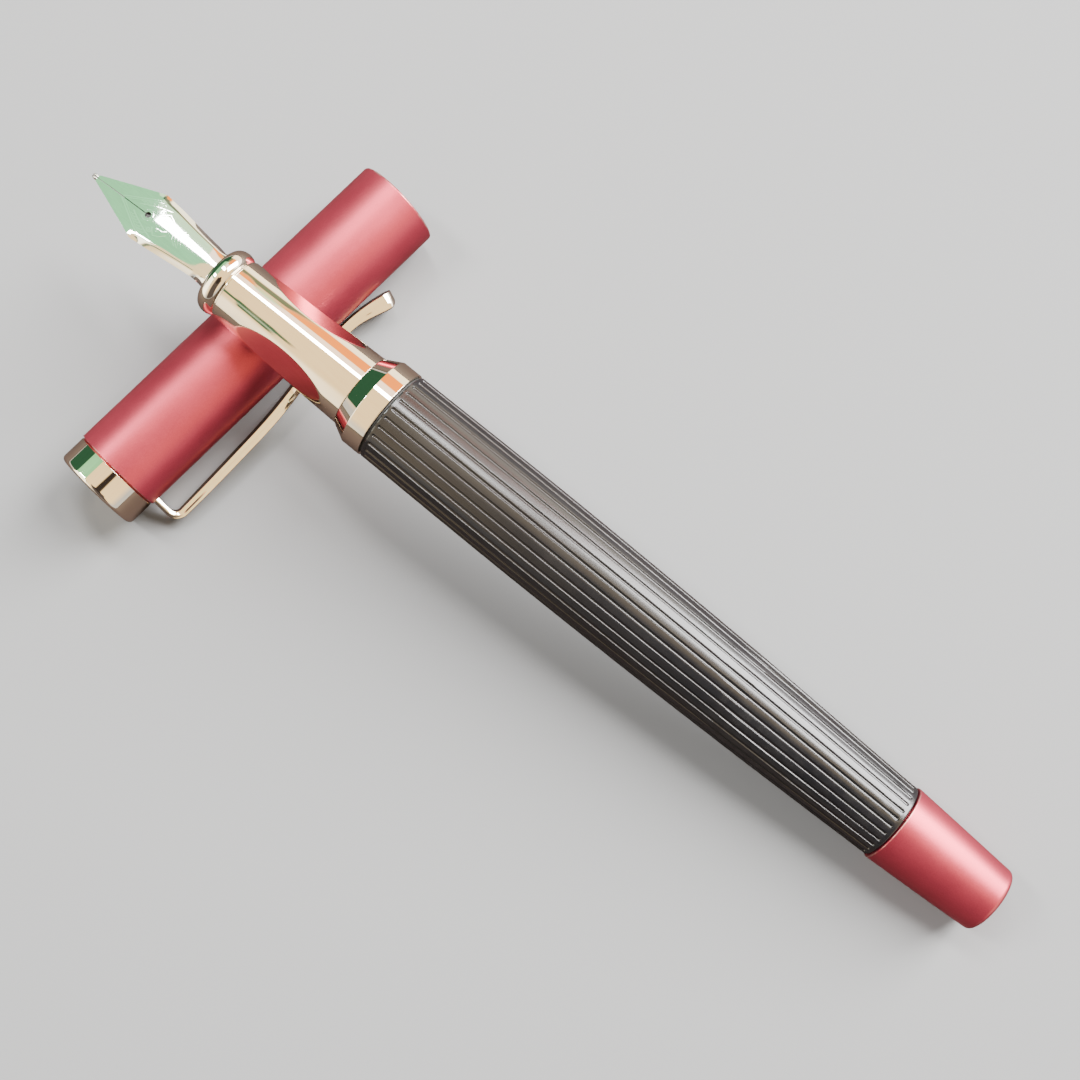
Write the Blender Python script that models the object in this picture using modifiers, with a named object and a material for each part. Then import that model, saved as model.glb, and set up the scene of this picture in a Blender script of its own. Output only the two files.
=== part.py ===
"""Fountain pen with its cap off: the pen lies across the cap, which lies on a flat surface.

Sizes are in millimetres and are turned into metres where meshes and places are made.
Along the pen, `s` is the distance from the nib's tip. Along the cap, `d` is the distance from its mouth.
"""

import math

import bmesh
import bpy
from mathutils import Matrix, Vector

MM = 0.001

# Cap
CAP_RADIUS = 5.8
CAP_WALL = 0.55
CAP_TUBE_LENGTH = 48.1
FINIAL_LENGTH = 3.7
FINIAL_RADIUS = 5.65
LINER_RADIUS = 5.15
LINER_BORE = 4.88
LINER_NECK_BORE = 4.5
LINER_MOUTH = 1.6
LINER_NECK = 20.0
LINER_FLOOR = 44.0

# Clip: a strip bent at its root, bowed along the cap, and turned up at its tip
CLIP_ANGLE = math.radians(28.8)
CLIP_THICKNESS = 0.85
CLIP_ARM = 47.5
CLIP_ROOT = 5.42
CLIP_REACH = 9.08
CLIP_BEND = 0.95
CLIP_TIP = 8.4

# Pen, along its axis from the nib's tip
PEN_LENGTH = 134.0
GRIP_FRONT = 19.1
GRIP_REAR = 40.9
RING_REAR = 45.33
BARREL_FRONT = 45.62
BARREL_REAR = 119.7
END_CAP_FRONT = 119.85
GRIP_WAIST = 4.1
GRIP_REAR_RADIUS = 4.76
HOLLOW_MIDDLE = 30.3  # where each finger hollow is deepest
HOLLOW_DEPTH = 3.87  # its floor's distance from the axis there
HOLLOW_SWEEP = 40.0  # the radius it is curved to along the pen
HOLLOW_LEAN = 62.0  # how far its floor faces away from the top, in degrees
GRIP_MOUTH = 3.04
RING_RADIUS = 5.86
END_CAP_RADIUS = 4.98
END_RADIUS = 4.12

# Nib and feed
NIB_SHOULDER = 8.6
NIB_HALF_WIDTH = 3.4
NIB_SHANK_RADIUS = 2.42
NIB_THICKNESS = 0.38
NIB_TAIL = 27.0
BREATHER = 8.5
SLIT_WIDTH = 0.12
FEED_RADIUS = 1.95
FEED_FRONT = 4.6
FEED_FINS = 8

# Barrel: 28 grooves between wide ribs
FLUTES = 28
FLUTE_DEPTH = 0.14
FLUTE_WIDTH = 0.32
FLUTE_FRONT = 46.2
FLUTE_REAR = 119.0

# Converter
NIPPLE_RADIUS = 1.05
CONVERTER_FRONT = 33.2
CONVERTER_REAR = 101.0
PISTON_FRONT = 64.0
PISTON_LENGTH = 5.0

# How the pen lies
PEN_YAW = math.radians(5.5)
CROSSING_ON_PEN = 23.6
CROSSING_ON_CAP = 23.0
REST_GAP = 0.12
NIB_ROLL = math.radians(7.0)

FINE = 32
COARSE = 20


def metres(vector):
    """A point in millimetres as a Vector in metres."""
    return Vector(vector) * MM


# ---------------------------------------------------------------- scene and helpers


def clear_scene():
    for item in list(bpy.data.objects):
        bpy.data.objects.remove(item, do_unlink=True)


def new_collection(name):
    group = bpy.data.collections.new(name)
    bpy.context.scene.collection.children.link(group)
    return group


def make_material(name, colour, roughness, metallic):
    finish = bpy.data.materials.new(name)
    finish.use_nodes = True
    shader = finish.node_tree.nodes["Principled BSDF"]
    shader.inputs["Base Color"].default_value = (*colour, 1.0)
    shader.inputs["Roughness"].default_value = roughness
    shader.inputs["Metallic"].default_value = metallic
    return finish


def add_object(name, mesh, parent, finish):
    item = bpy.data.objects.new(name, mesh)
    PEN.objects.link(item)
    item.parent = parent
    item.data.materials.append(finish)
    return item


def add_empty(name, parent, matrix):
    item = bpy.data.objects.new(name, None)
    PEN.objects.link(item)
    item.parent = parent
    item.matrix_local = matrix
    return item


def hide_cutter(item):
    item.hide_render = True
    item.display_type = "WIRE"
    PEN.objects.unlink(item)
    CUTTERS.objects.link(item)


def cut(item, cutter):
    """Subtract one cutter from a piece."""
    modifier = item.modifiers.new("cut_" + cutter.name, "BOOLEAN")
    modifier.operation = "DIFFERENCE"
    modifier.solver = "EXACT"
    modifier.object = cutter


def rounded(outline):
    """Replace each (radius, height, fillet) corner of an outline by an arc of two chords."""
    points = []
    count = len(outline)
    for index, corner in enumerate(outline):
        here = Vector(corner[:2])
        if len(corner) < 3:
            points.append(here)
            continue
        before = Vector(outline[index - 1][:2])
        after = Vector(outline[(index + 1) % count][:2])
        to_before = (before - here).normalized()
        to_after = (after - here).normalized()
        half = to_before.angle(to_after) / 2
        reach = corner[2] / math.tan(half)
        centre = here + (to_before + to_after).normalized() * corner[2] / math.sin(half)
        start = here + to_before * reach - centre
        end = here + to_after * reach - centre
        sweep = start.angle_signed(end)
        for step in range(3):
            turn = Matrix.Rotation(-sweep * step / 2, 2)
            points.append(centre + turn @ start)
    return points


def signed_area(points):
    total = 0.0
    for one, two in zip(points, points[1:] + points[:1]):
        total += one.x * two.y - two.x * one.y
    return total / 2


def turned(name, outline, parent, finish, steps=FINE, closed=True):
    """A turned piece: an outline of (radius, height) about the parent's Z axis.

    A closed outline makes a ring or a tube. An open one starts and ends on the axis.
    """
    points = rounded(outline)
    if signed_area(points) > 0:
        points.reverse()
    mesh = bpy.data.meshes.new(name)
    count = len(points)
    edges = [(index, index + 1) for index in range(count - 1)]
    if closed:
        edges.append((count - 1, 0))
    mesh.from_pydata([(p.x * MM, 0.0, p.y * MM) for p in points], edges, [])
    item = add_object(name, mesh, parent, finish)
    screw = item.modifiers.new("turn", "SCREW")
    screw.axis = "Z"
    screw.angle = 2 * math.pi
    screw.steps = steps
    screw.render_steps = steps
    screw.use_merge_vertices = True
    screw.merge_threshold = 1e-6
    screw.use_smooth_shade = True
    return item


def loft(name, rings, parent, finish, wrap=False):
    """Join equal rings of points, in millimetres. The ends are capped, or joined where wrap is set."""
    shape = bmesh.new()
    loops = []
    for ring in rings:
        loops.append([shape.verts.new(metres(point)) for point in ring])
    pairs = list(zip(loops, loops[1:]))
    if wrap:
        pairs.append((loops[-1], loops[0]))
    for first, second in pairs:
        count = len(first)
        for index in range(count):
            after = (index + 1) % count
            shape.faces.new((first[index], first[after], second[after], second[index]))
    if not wrap:
        shape.faces.new(loops[0])
        shape.faces.new(loops[-1])
    bmesh.ops.recalc_face_normals(shape, faces=shape.faces)
    mesh = bpy.data.meshes.new(name)
    shape.to_mesh(mesh)
    shape.free()
    mesh.shade_smooth()
    mesh.set_sharp_from_angle(angle=math.radians(35))
    return add_object(name, mesh, parent, finish)


def boxes(name, places, parent, finish):
    """Separate boxes in one mesh, each a (centre, size) in millimetres."""
    shape = bmesh.new()
    for centre, size in places:
        scale = Matrix.Diagonal((*metres(size), 1.0))
        bmesh.ops.create_cube(shape, size=1.0, matrix=Matrix.Translation(metres(centre)) @ scale)
    mesh = bpy.data.meshes.new(name)
    shape.to_mesh(mesh)
    shape.free()
    return add_object(name, mesh, parent, finish)


def smooth_step(value):
    value = min(max(value, 0.0), 1.0)
    return value * value * (3.0 - 2.0 * value)


def through(value, knots):
    """A smooth curve through (place, size) knots: Catmull-Rom, flat beyond the ends."""
    if value <= knots[0][0]:
        return knots[0][1]
    for index in range(len(knots) - 1):
        start, end = knots[index], knots[index + 1]
        if value <= end[0]:
            before = knots[max(index - 1, 0)]
            after = knots[min(index + 2, len(knots) - 1)]
            width = end[0] - start[0]
            slope_start = (end[1] - before[1]) / (end[0] - before[0]) * width
            slope_end = (after[1] - start[1]) / (after[0] - start[0]) * width
            t = (value - start[0]) / width
            return ((2 * t**3 - 3 * t**2 + 1) * start[1] + (t**3 - 2 * t**2 + t) * slope_start
                    + (3 * t**2 - 2 * t**3) * end[1] + (t**3 - t**2) * slope_end)
    return knots[-1][1]


# ---------------------------------------------------------------- outer lines of the pen


def grip_radius(s):
    """The grip behind its front bead: a waist, then a slow flare."""
    return through(s, [(21.6, 4.14), (24.5, GRIP_WAIST), (30.0, 4.42), (35.0, 4.62),
                       (GRIP_REAR, GRIP_REAR_RADIUS)])


def barrel_radius(s):
    """The barrel's slightly bellied line."""
    return through(s, [(BARREL_FRONT, 5.8), (66.0, 5.9), (85.0, 5.74), (100.0, 5.42),
                       (BARREL_REAR, 4.79)])


# ---------------------------------------------------------------- cap


def build_cap(frame):
    inner = CAP_RADIUS - CAP_WALL
    tube = turned("cap_tube", [
        (CAP_RADIUS, 0.0, 0.25), (CAP_RADIUS, CAP_TUBE_LENGTH, 0.06),
        (inner, CAP_TUBE_LENGTH), (inner, 0.0, 0.2),
    ], frame, RED)
    notch_depth = CAP_TUBE_LENGTH - CLIP_ARM + CLIP_THICKNESS / 2 + 0.15
    notch_centre = (CAP_RADIUS - 0.3, 0.0, CAP_TUBE_LENGTH + 0.5 - notch_depth / 2)
    notch = boxes("clip_notch", [(notch_centre, (2.0, 2.5, notch_depth + 1.0))], frame, RED)
    hide_cutter(notch)
    cut(tube, notch)

    turned("cap_liner", [
        (LINER_RADIUS, LINER_MOUTH), (LINER_RADIUS, 46.7), (1.6, 46.7), (1.6, LINER_FLOOR),
        (LINER_NECK_BORE, LINER_FLOOR, 0.4), (LINER_NECK_BORE, LINER_NECK + 1.0),
        (LINER_BORE, LINER_NECK), (LINER_BORE, LINER_MOUTH),
    ], frame, BLACK_PLASTIC, COARSE)

    ring_front = CLIP_ARM - CLIP_THICKNESS / 2
    ring_rear = CLIP_ARM + CLIP_THICKNESS / 2
    turned("clip_ring", [
        (LINER_RADIUS, ring_front), (LINER_RADIUS, ring_rear), (2.6, ring_rear), (2.6, ring_front),
    ], frame, CHROME, COARSE)

    front = CAP_TUBE_LENGTH + 0.04
    end = CAP_TUBE_LENGTH + FINIAL_LENGTH
    turned("finial", [
        (0.0, end), (FINIAL_RADIUS, end, 0.55), (FINIAL_RADIUS, front, 0.18),
        (2.45, front), (2.45, 46.85), (1.45, 46.85), (1.45, 50.6), (0.0, 50.6),
    ], frame, CHROME, FINE, closed=False)

    turned("finial_screw", [
        (0.0, 50.2), (1.35, 50.2, 0.3), (1.35, 43.85), (2.3, 43.85), (2.3, 43.0, 0.25), (0.0, 43.0),
    ], frame, STEEL, COARSE, closed=False)


def clip_line():
    """The clip's centre line as (distance from the cap's axis, d, half width, half thickness)."""
    half = CLIP_THICKNESS / 2
    line = [(CLIP_ROOT, CLIP_ARM, 1.0, half), (CLIP_REACH - CLIP_BEND, CLIP_ARM, 1.0, half)]
    bend_steps = 5
    for step in range(1, bend_steps + 1):
        turn = math.pi / 2 * step / bend_steps
        line.append((CLIP_REACH - CLIP_BEND * (1 - math.sin(turn)),
                     CLIP_ARM - CLIP_BEND * (1 - math.cos(turn)), 1.05, half))
    height = [(CLIP_TIP, 7.62), (9.4, 7.42), (11.4, 6.86), (14.0, 6.5), (16.5, 6.62), (22.0, 7.26),
              (30.0, 8.42), (37.0, 8.82), (CLIP_ARM - CLIP_BEND, CLIP_REACH)]
    width = [(CLIP_TIP, 0.75), (9.3, 1.4), (11.0, 1.38), (14.0, 1.15), (24.0, 1.42), (34.0, 1.6),
             (42.0, 1.35), (CLIP_ARM - CLIP_BEND, 1.05)]
    thick = [(CLIP_TIP, 0.35), (9.3, 0.62), (12.0, half), (46.0, half)]
    places = [43.5, 40.0, 36.0, 32.0, 28.0, 24.0, 20.0, 17.0, 14.5, 12.5, 11.0, 9.8, 8.9, CLIP_TIP]
    for d in places:
        line.append((through(d, height), d, through(d, width), through(d, thick)))
    return line


def build_clip(frame):
    line = clip_line()
    rings = []
    for index, (reach, d, half_width, half_thick) in enumerate(line):
        before = line[max(index - 1, 0)]
        after = line[min(index + 1, len(line) - 1)]
        along = Vector((after[0] - before[0], 0.0, after[1] - before[1])).normalized()
        across = Vector((0.0, 1.0, 0.0))
        outward = across.cross(along)
        centre = Vector((reach, 0.0, d))
        ring = []
        for side, rise in ((-1, 1), (-1, -0.35), (-0.6, -1), (0.6, -1), (1, -0.35), (1, 1)):
            ring.append(centre + across * side * half_width + outward * rise * half_thick)
        rings.append(ring)
    hinge = add_empty("clip_hinge", frame, Matrix.Translation(metres((CLIP_ROOT, 0.0, CLIP_ARM))))
    item = loft("clip", rings, frame, CHROME)
    item.data.transform(Matrix.Translation(-metres((CLIP_ROOT, 0.0, CLIP_ARM))))
    item.parent = hinge


# ---------------------------------------------------------------- nib and feed


def nib_half_width(s):
    """Half the nib's width: a long point, rounded shoulders, then a waisted shank."""
    point = 0.28 + (NIB_HALF_WIDTH - 0.1) * s / NIB_SHOULDER
    shank = through(s, [(NIB_SHOULDER, NIB_HALF_WIDTH), (13.0, 2.95), (17.0, 2.5), (19.5, 2.4)])
    blend = smooth_step((s - NIB_SHOULDER + 1.1) / 2.0)
    return min(point, NIB_HALF_WIDTH) * (1 - blend) + shank * blend


def nib_top(s):
    """Height of the nib's ridge above the pen's axis."""
    return through(s, [(0.0, 0.25), (4.0, 1.05), (NIB_SHOULDER, 1.85), (14.0, 2.3),
                       (18.5, NIB_SHANK_RADIUS), (NIB_TAIL, NIB_SHANK_RADIUS)])


def nib_section(s, depth):
    """Points across the nib, left to right, on its top (depth 0) or under it."""
    half = nib_half_width(s)
    wrap = smooth_step((s - 4.0) / 14.0)
    reach = math.radians(20 + 80 * wrap)
    radius = half / math.sin(min(reach, math.pi / 2))
    points = []
    steps = 8
    for index in range(steps + 1):
        angle = reach * (2 * index / steps - 1)
        points.append(Vector(((radius - depth) * math.sin(angle),
                              nib_top(s) - radius + (radius - depth) * math.cos(angle), s)))
    return points


def build_nib(frame):
    places = [0.45, 2.0, 4.5, 6.5, 7.8, 8.8, 10.0, 12.0, 14.5, 17.0, 19.5, NIB_TAIL]
    rings = []
    for s in places:
        top = nib_section(s, 0.0)
        under = nib_section(s, NIB_THICKNESS)
        rings.append(top + under[::-1])
    nib = loft("nib", rings, frame, STEEL)
    slit_centre = (0.0, 1.0, BREATHER / 2 - 1.0)
    slit = boxes("nib_slit", [(slit_centre, (SLIT_WIDTH, 4.0, BREATHER + 2.0))], frame, STEEL)
    hole = turned("breather_hole", [(0.0, 4.0), (0.4, 4.0), (0.4, 0.0), (0.0, 0.0)],
                  frame, STEEL, 16, closed=False)
    hole.rotation_euler = (-math.pi / 2, 0.0, 0.0)
    hole.location = metres((0.0, 0.0, BREATHER))
    for cutter in (slit, hole):
        hide_cutter(cutter)
        cut(nib, cutter)
    for side, name in ((-1, "nib_tip_left"), (1, "nib_tip_right")):
        shape = bmesh.new()
        bmesh.ops.create_uvsphere(shape, u_segments=10, v_segments=6, radius=0.26 * MM)
        bmesh.ops.transform(shape, matrix=Matrix.Diagonal((0.75, 1.1, 1.35, 1.0)), verts=shape.verts)
        mesh = bpy.data.meshes.new(name)
        shape.to_mesh(mesh)
        shape.free()
        mesh.shade_smooth()
        tip = add_object(name, mesh, frame, TIPPING)
        tip.location = metres((side * 0.265, nib_top(0.0) - 0.2, 0.02))


def build_feed(frame):
    rings = []
    gap = 0.1
    for s in (FEED_FRONT, 6.5, 9.0, 12.0, 15.0, 18.6, 29.0):
        half = through(s, [(FEED_FRONT, 0.45), (9.0, 1.45), (15.0, FEED_RADIUS - 0.05), (18.6, FEED_RADIUS)])
        top = min(nib_section(s, NIB_THICKNESS + gap)[4].y, FEED_RADIUS)
        low = through(s, [(FEED_FRONT, top - 0.5), (9.0, -0.9), (13.0, -FEED_RADIUS), (18.6, -FEED_RADIUS)])
        ring = []
        steps = 18
        for index in range(steps):
            angle = 2 * math.pi * index / steps
            middle = (top + low) / 2
            ring.append(Vector((half * math.sin(angle), middle + (top - middle) * math.cos(angle), s)))
        rings.append(ring)
    feed = loft("feed", rings, frame, BLACK_PLASTIC)
    slots = []
    pitch = 0.95
    for index in range(FEED_FINS):
        s = 10.2 + pitch * index
        slots.append(((0.0, -2.2, s), (5.0, 2.6, 0.4)))
    comb = boxes("feed_comb", slots, frame, BLACK_PLASTIC)
    hide_cutter(comb)
    cut(feed, comb)
    turned("nib_housing", [
        (2.92, 19.5, 0.1), (2.92, 29.9), (0.9, 29.9), (0.9, 29.2), (2.52, 29.2), (2.52, 19.5),
    ], frame, BLACK_PLASTIC, COARSE)


# ---------------------------------------------------------------- grip


def finger_hollow(name, side, frame):
    """A cutter for one finger hollow: a wide cylinder lying across the grip, straight across and curved along."""
    rings = []
    for across in (-4.0, 4.0):
        ring = []
        for step in range(-6, 7):
            along = 9.0 * step / 6
            ring.append((HOLLOW_DEPTH + along * along / (2 * HOLLOW_SWEEP), across, HOLLOW_MIDDLE + along))
        ring += [(7.0, across, HOLLOW_MIDDLE + 9.0), (7.0, across, HOLLOW_MIDDLE - 9.0)]
        rings.append(ring)
    lean = math.radians(HOLLOW_LEAN)
    outward = Vector((side * math.sin(lean), math.cos(lean), 0.0))
    beside = Vector((math.cos(lean), -side * math.sin(lean), 0.0))
    axis = Vector((0.0, 0.0, 1.0))
    rings = [[outward * out + beside * across + axis * s for out, across, s in ring] for ring in rings]
    return loft(name, rings, frame, CHROME)


def build_grip(frame):
    bead = [(GRIP_MOUTH, 20.3), (GRIP_MOUTH, 19.5), (3.2, GRIP_FRONT + 0.06), (3.5, GRIP_FRONT)]
    for step in range(1, 6):
        turn = math.radians(90 - 31 * step)
        bead.append((3.5 + 0.84 * math.cos(turn), 20.3 - 1.2 * math.sin(turn)))
    grip = bead + [(4.12, 21.5)]
    grip += [(grip_radius(s), s) for s in (23.0, 25.5, 28.5, 32.0, 36.0)]
    grip += [(GRIP_REAR_RADIUS, GRIP_REAR), (4.02, GRIP_REAR), (4.02, 37.5), (3.46, 37.5), (3.46, 20.3)]
    sleeve = turned("grip_sleeve", grip, frame, CHROME)
    for side, name in ((-1, "left"), (1, "right")):
        hollow = finger_hollow("finger_hollow_" + name, side, frame)
        hide_cutter(hollow)
        cut(sleeve, hollow)

    core = [(3.38, 20.45), (3.38, 37.65), (3.94, 37.65), (3.94, 40.98), (4.18, 40.98), (4.18, 46.4)]
    pitch = 1.1
    for turn in range(3):
        start = 46.4 + pitch * turn
        core += [(4.18, start + 0.3), (3.98, start + 0.55), (3.98, start + 0.8), (4.18, start + pitch - 0.02)]
    core += [(4.18, 52.0, 0.2), (3.45, 52.0), (3.45, 39.05), (3.0, 39.05), (3.0, 32.2),
             (NIPPLE_RADIUS, 32.2), (NIPPLE_RADIUS, 36.2), (0.6, 36.8), (0.6, 30.6), (3.02, 30.6), (3.02, 20.45)]
    turned("grip_core", core, frame, BLACK_PLASTIC, COARSE)

    shoulder = []
    for step in range(5):
        turn = math.pi / 2 * step / 4
        shoulder.append((4.84 + 0.93 * math.sin(turn), 42.72 - 1.74 * math.cos(turn)))
    ring = shoulder + [(RING_RADIUS, 42.8, 0.05), (RING_RADIUS, RING_REAR, 0.08), (4.26, RING_REAR),
                       (4.26, 40.98)]
    turned("trim_ring", ring, frame, CHROME)
    turned("seal_ring", [(5.5, RING_REAR + 0.03), (5.5, BARREL_FRONT - 0.03),
                         (4.26, BARREL_FRONT - 0.03), (4.26, RING_REAR + 0.03)], frame, RUBBER, COARSE)


# ---------------------------------------------------------------- barrel


def barrel_ring(s, depth):
    """Points around the fluted barrel at s: each groove is a shallow V between two ribs."""
    radius = barrel_radius(s)
    points = []
    for flute in range(FLUTES):
        middle = 2 * math.pi * flute / FLUTES
        for side, inset in ((-0.5, 0.0), (0.0, depth), (0.5, 0.0)):
            angle = middle + side * FLUTE_WIDTH / radius
            points.append(Vector(((radius - inset) * math.cos(angle), (radius - inset) * math.sin(angle), s)))
    return points


def bore_ring(s, radius):
    """Points around the bore that answer the points of barrel_ring."""
    return [Vector((radius * p.normalized().x, radius * p.normalized().y, s))
            for p in (Vector((q.x, q.y, 0.0)) for q in barrel_ring(s, 0.0))]


def build_barrel(frame):
    rings = [barrel_ring(BARREL_FRONT, 0.0), barrel_ring(FLUTE_FRONT, 0.0)]
    for s in (FLUTE_FRONT + 0.25, 66.0, 80.0, 92.0, 105.0, FLUTE_REAR - 0.25):
        rings.append(barrel_ring(s, FLUTE_DEPTH))
    rings += [barrel_ring(FLUTE_REAR, 0.0), barrel_ring(BARREL_REAR, 0.0)]
    for s, radius in ((BARREL_REAR, 3.9), (113.0, 3.9), (98.0, 4.75), (56.2, 4.75), (56.1, 4.96),
                      (BARREL_FRONT, 4.96)):
        rings.append(bore_ring(s, radius))
    loft("barrel_shell", rings, frame, BLACK_LACQUER, wrap=True)

    turned("end_cap", [
        (0.0, PEN_LENGTH), (END_RADIUS, PEN_LENGTH, 0.6), (END_CAP_RADIUS, END_CAP_FRONT, 0.12),
        (3.8, END_CAP_FRONT), (3.8, 115.2), (2.7, 115.2), (2.7, 130.5, 0.8), (0.0, 130.5),
    ], frame, RED, FINE, closed=False)
    turned("tail_plug", [
        (0.0, 123.0), (2.6, 123.0, 0.2), (2.6, 115.9), (1.2, 115.9), (1.2, 117.5), (0.0, 117.5),
    ], frame, BRASS, COARSE, closed=False)


def build_barrel_bush(frame):
    turned("barrel_bush", [(4.9, BARREL_FRONT + 0.1), (4.9, 55.8), (4.3, 55.8), (4.3, BARREL_FRONT + 0.1)],
           frame, BRASS, COARSE)


# ---------------------------------------------------------------- converter


def build_converter(frame):
    turned("converter_collar", [
        (2.9, CONVERTER_FRONT, 0.15), (2.9, 39.0), (2.62, 39.0), (2.62, 41.0), (1.9, 41.0), (1.9, 37.4),
        (NIPPLE_RADIUS + 0.1, 37.4), (NIPPLE_RADIUS + 0.1, CONVERTER_FRONT),
    ], frame, BLACK_PLASTIC, COARSE)
    turned("converter_tube", [(3.15, 39.1), (3.15, 76.0), (2.7, 76.0), (2.7, 39.1)],
           frame, CLEAR_PLASTIC, COARSE)
    turned("converter_sleeve", [
        (3.45, 70.0, 0.08), (3.45, 88.0, 0.08), (2.75, 88.0), (2.75, 76.2), (3.22, 76.2), (3.22, 70.0),
    ], frame, CHROME, COARSE)
    turned("converter_nut", [(2.68, 76.4), (2.68, 86.5), (1.2, 86.5), (1.2, 76.4)],
           frame, BLACK_PLASTIC, COARSE)


def build_piston(frame):
    rear = PISTON_FRONT + PISTON_LENGTH
    turned("piston_seal", [
        (0.0, PISTON_FRONT), (2.62, PISTON_FRONT, 0.2), (2.62, PISTON_FRONT + 1.4),
        (2.35, PISTON_FRONT + 1.8),
        (2.35, rear - 1.8), (2.62, rear - 1.4), (2.62, rear), (1.0, rear), (1.0, rear - 2.0),
        (0.0, rear - 2.0),
    ], frame, RUBBER, COARSE, closed=False)
    rod = [(0.0, rear - 1.9), (0.92, rear - 1.9)]
    pitch = 4.8
    for turn in range(6):
        start = rear + 0.6 + pitch * turn
        rod += [(0.92, start), (1.08, start + 1.0), (1.08, start + 2.6), (0.92, start + 3.6)]
    rod += [(0.92, 99.2), (0.0, 99.2)]
    turned("piston_rod", rod, frame, BLACK_PLASTIC, 12, closed=False)


def build_knob(frame):
    knob = [(0.0, CONVERTER_REAR), (2.9, CONVERTER_REAR, 0.4)]
    for groove in range(3):
        start = CONVERTER_REAR - 2.2 - 1.6 * groove
        knob += [(3.3, start), (3.05, start - 0.3), (3.05, start - 0.6), (3.3, start - 0.9)]
    knob += [(3.3, 88.15, 0.1), (1.35, 88.15), (1.35, 100.0), (0.0, 100.0)]
    turned("converter_knob", knob, frame, CHROME, COARSE, closed=False)


# ---------------------------------------------------------------- how the pen lies


def lying_slope():
    """Slope at which the grip rests on the cap and the end cap rests on the surface."""
    grip = grip_radius(CROSSING_ON_PEN)
    slope = 0.1
    for _ in range(20):
        drop = 2 * CAP_RADIUS + REST_GAP + grip / math.cos(slope) - END_RADIUS * math.cos(slope)
        slope = math.asin(drop / (PEN_LENGTH - CROSSING_ON_PEN))
    return slope


def pen_matrix(slope):
    """Pen frame: Z runs from the nib to the barrel's end, Y points up. The cap's axis is at x = 0."""
    level = Vector((math.cos(PEN_YAW), math.sin(PEN_YAW), 0.0)) * math.cos(slope)
    along = level - Vector((0.0, 0.0, math.sin(slope)))
    side = Vector((0.0, 0.0, 1.0)).cross(along).normalized()
    upward = along.cross(side)
    height = 2 * CAP_RADIUS + REST_GAP + grip_radius(CROSSING_ON_PEN) / math.cos(slope)
    tip = metres((0.0, 0.0, height)) - along * CROSSING_ON_PEN * MM
    turn = Matrix((side, upward, along)).transposed().to_4x4()
    return Matrix.Translation(tip) @ turn


def cap_matrix():
    """Cap frame: Z runs from the mouth to the finial, X points from the axis to the clip."""
    along = Vector((0.0, -1.0, 0.0))
    clipward = Vector((math.cos(CLIP_ANGLE), 0.0, -math.sin(CLIP_ANGLE)))
    side = along.cross(clipward)
    turn = Matrix((clipward, side, along)).transposed().to_4x4()
    return Matrix.Translation(metres((0.0, CROSSING_ON_CAP, CAP_RADIUS))) @ turn


def centre_on_base(root):
    """Move everything so that the origin is under the middle of the object, on its lowest point."""
    bpy.context.view_layer.update()
    graph = bpy.context.evaluated_depsgraph_get()
    low = Vector((1e9, 1e9, 1e9))
    high = -low
    for item in PEN.objects:
        if item.type != "MESH":
            continue
        solid = item.evaluated_get(graph)
        for vertex in solid.data.vertices:
            place = solid.matrix_world @ vertex.co
            low = Vector(map(min, low, place))
            high = Vector(map(max, high, place))
    root.location = (-(low.x + high.x) / 2, -(low.y + high.y) / 2, -low.z)
    bpy.context.view_layer.update()


clear_scene()
PEN = new_collection("fountain_pen")
CUTTERS = new_collection("cutters")

RED = make_material("red_lacquer", (0.50, 0.045, 0.08), 0.35, 0.5)
BLACK_LACQUER = make_material("black_lacquer", (0.02, 0.02, 0.021), 0.38, 0.0)
CHROME = make_material("polished_chrome", (0.80, 0.76, 0.69), 0.08, 1.0)
STEEL = make_material("nib_steel", (0.74, 0.74, 0.70), 0.14, 1.0)
TIPPING = make_material("tipping_alloy", (0.62, 0.62, 0.60), 0.25, 1.0)
BRASS = make_material("brass", (0.70, 0.48, 0.18), 0.3, 1.0)
BLACK_PLASTIC = make_material("black_plastic", (0.015, 0.015, 0.015), 0.45, 0.0)
CLEAR_PLASTIC = make_material("clear_plastic", (0.80, 0.83, 0.84), 0.1, 0.0)
RUBBER = make_material("black_rubber", (0.012, 0.012, 0.012), 0.7, 0.0)

ORIGIN = add_empty("pen_origin", None, Matrix.Identity(4))
CAP_FRAME = add_empty("cap_axis", ORIGIN, cap_matrix())
PEN_FRAME = add_empty("pen_axis", ORIGIN, pen_matrix(lying_slope()))
NIB_FRAME = add_empty("nib_axis", PEN_FRAME, Matrix.Rotation(-NIB_ROLL, 4, "Z"))

build_cap(CAP_FRAME)
build_clip(CAP_FRAME)
build_nib(NIB_FRAME)
build_feed(NIB_FRAME)
build_grip(PEN_FRAME)
build_barrel(PEN_FRAME)
build_barrel_bush(PEN_FRAME)
build_converter(PEN_FRAME)
build_piston(PEN_FRAME)
build_knob(PEN_FRAME)
centre_on_base(ORIGIN)
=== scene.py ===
"""Fountain pen lying uncapped across its cap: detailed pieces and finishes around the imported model.

Sizes are in millimetres in each part's own frame, and are turned into metres when a mesh is made.
Along the pen, `s` is the distance from the nib's tip. Along the cap, `d` is the distance from its mouth.
"""
import math

import bmesh
import bpy
import numpy as np
from mathutils import Matrix, Vector
from mathutils.kdtree import KDTree


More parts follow.
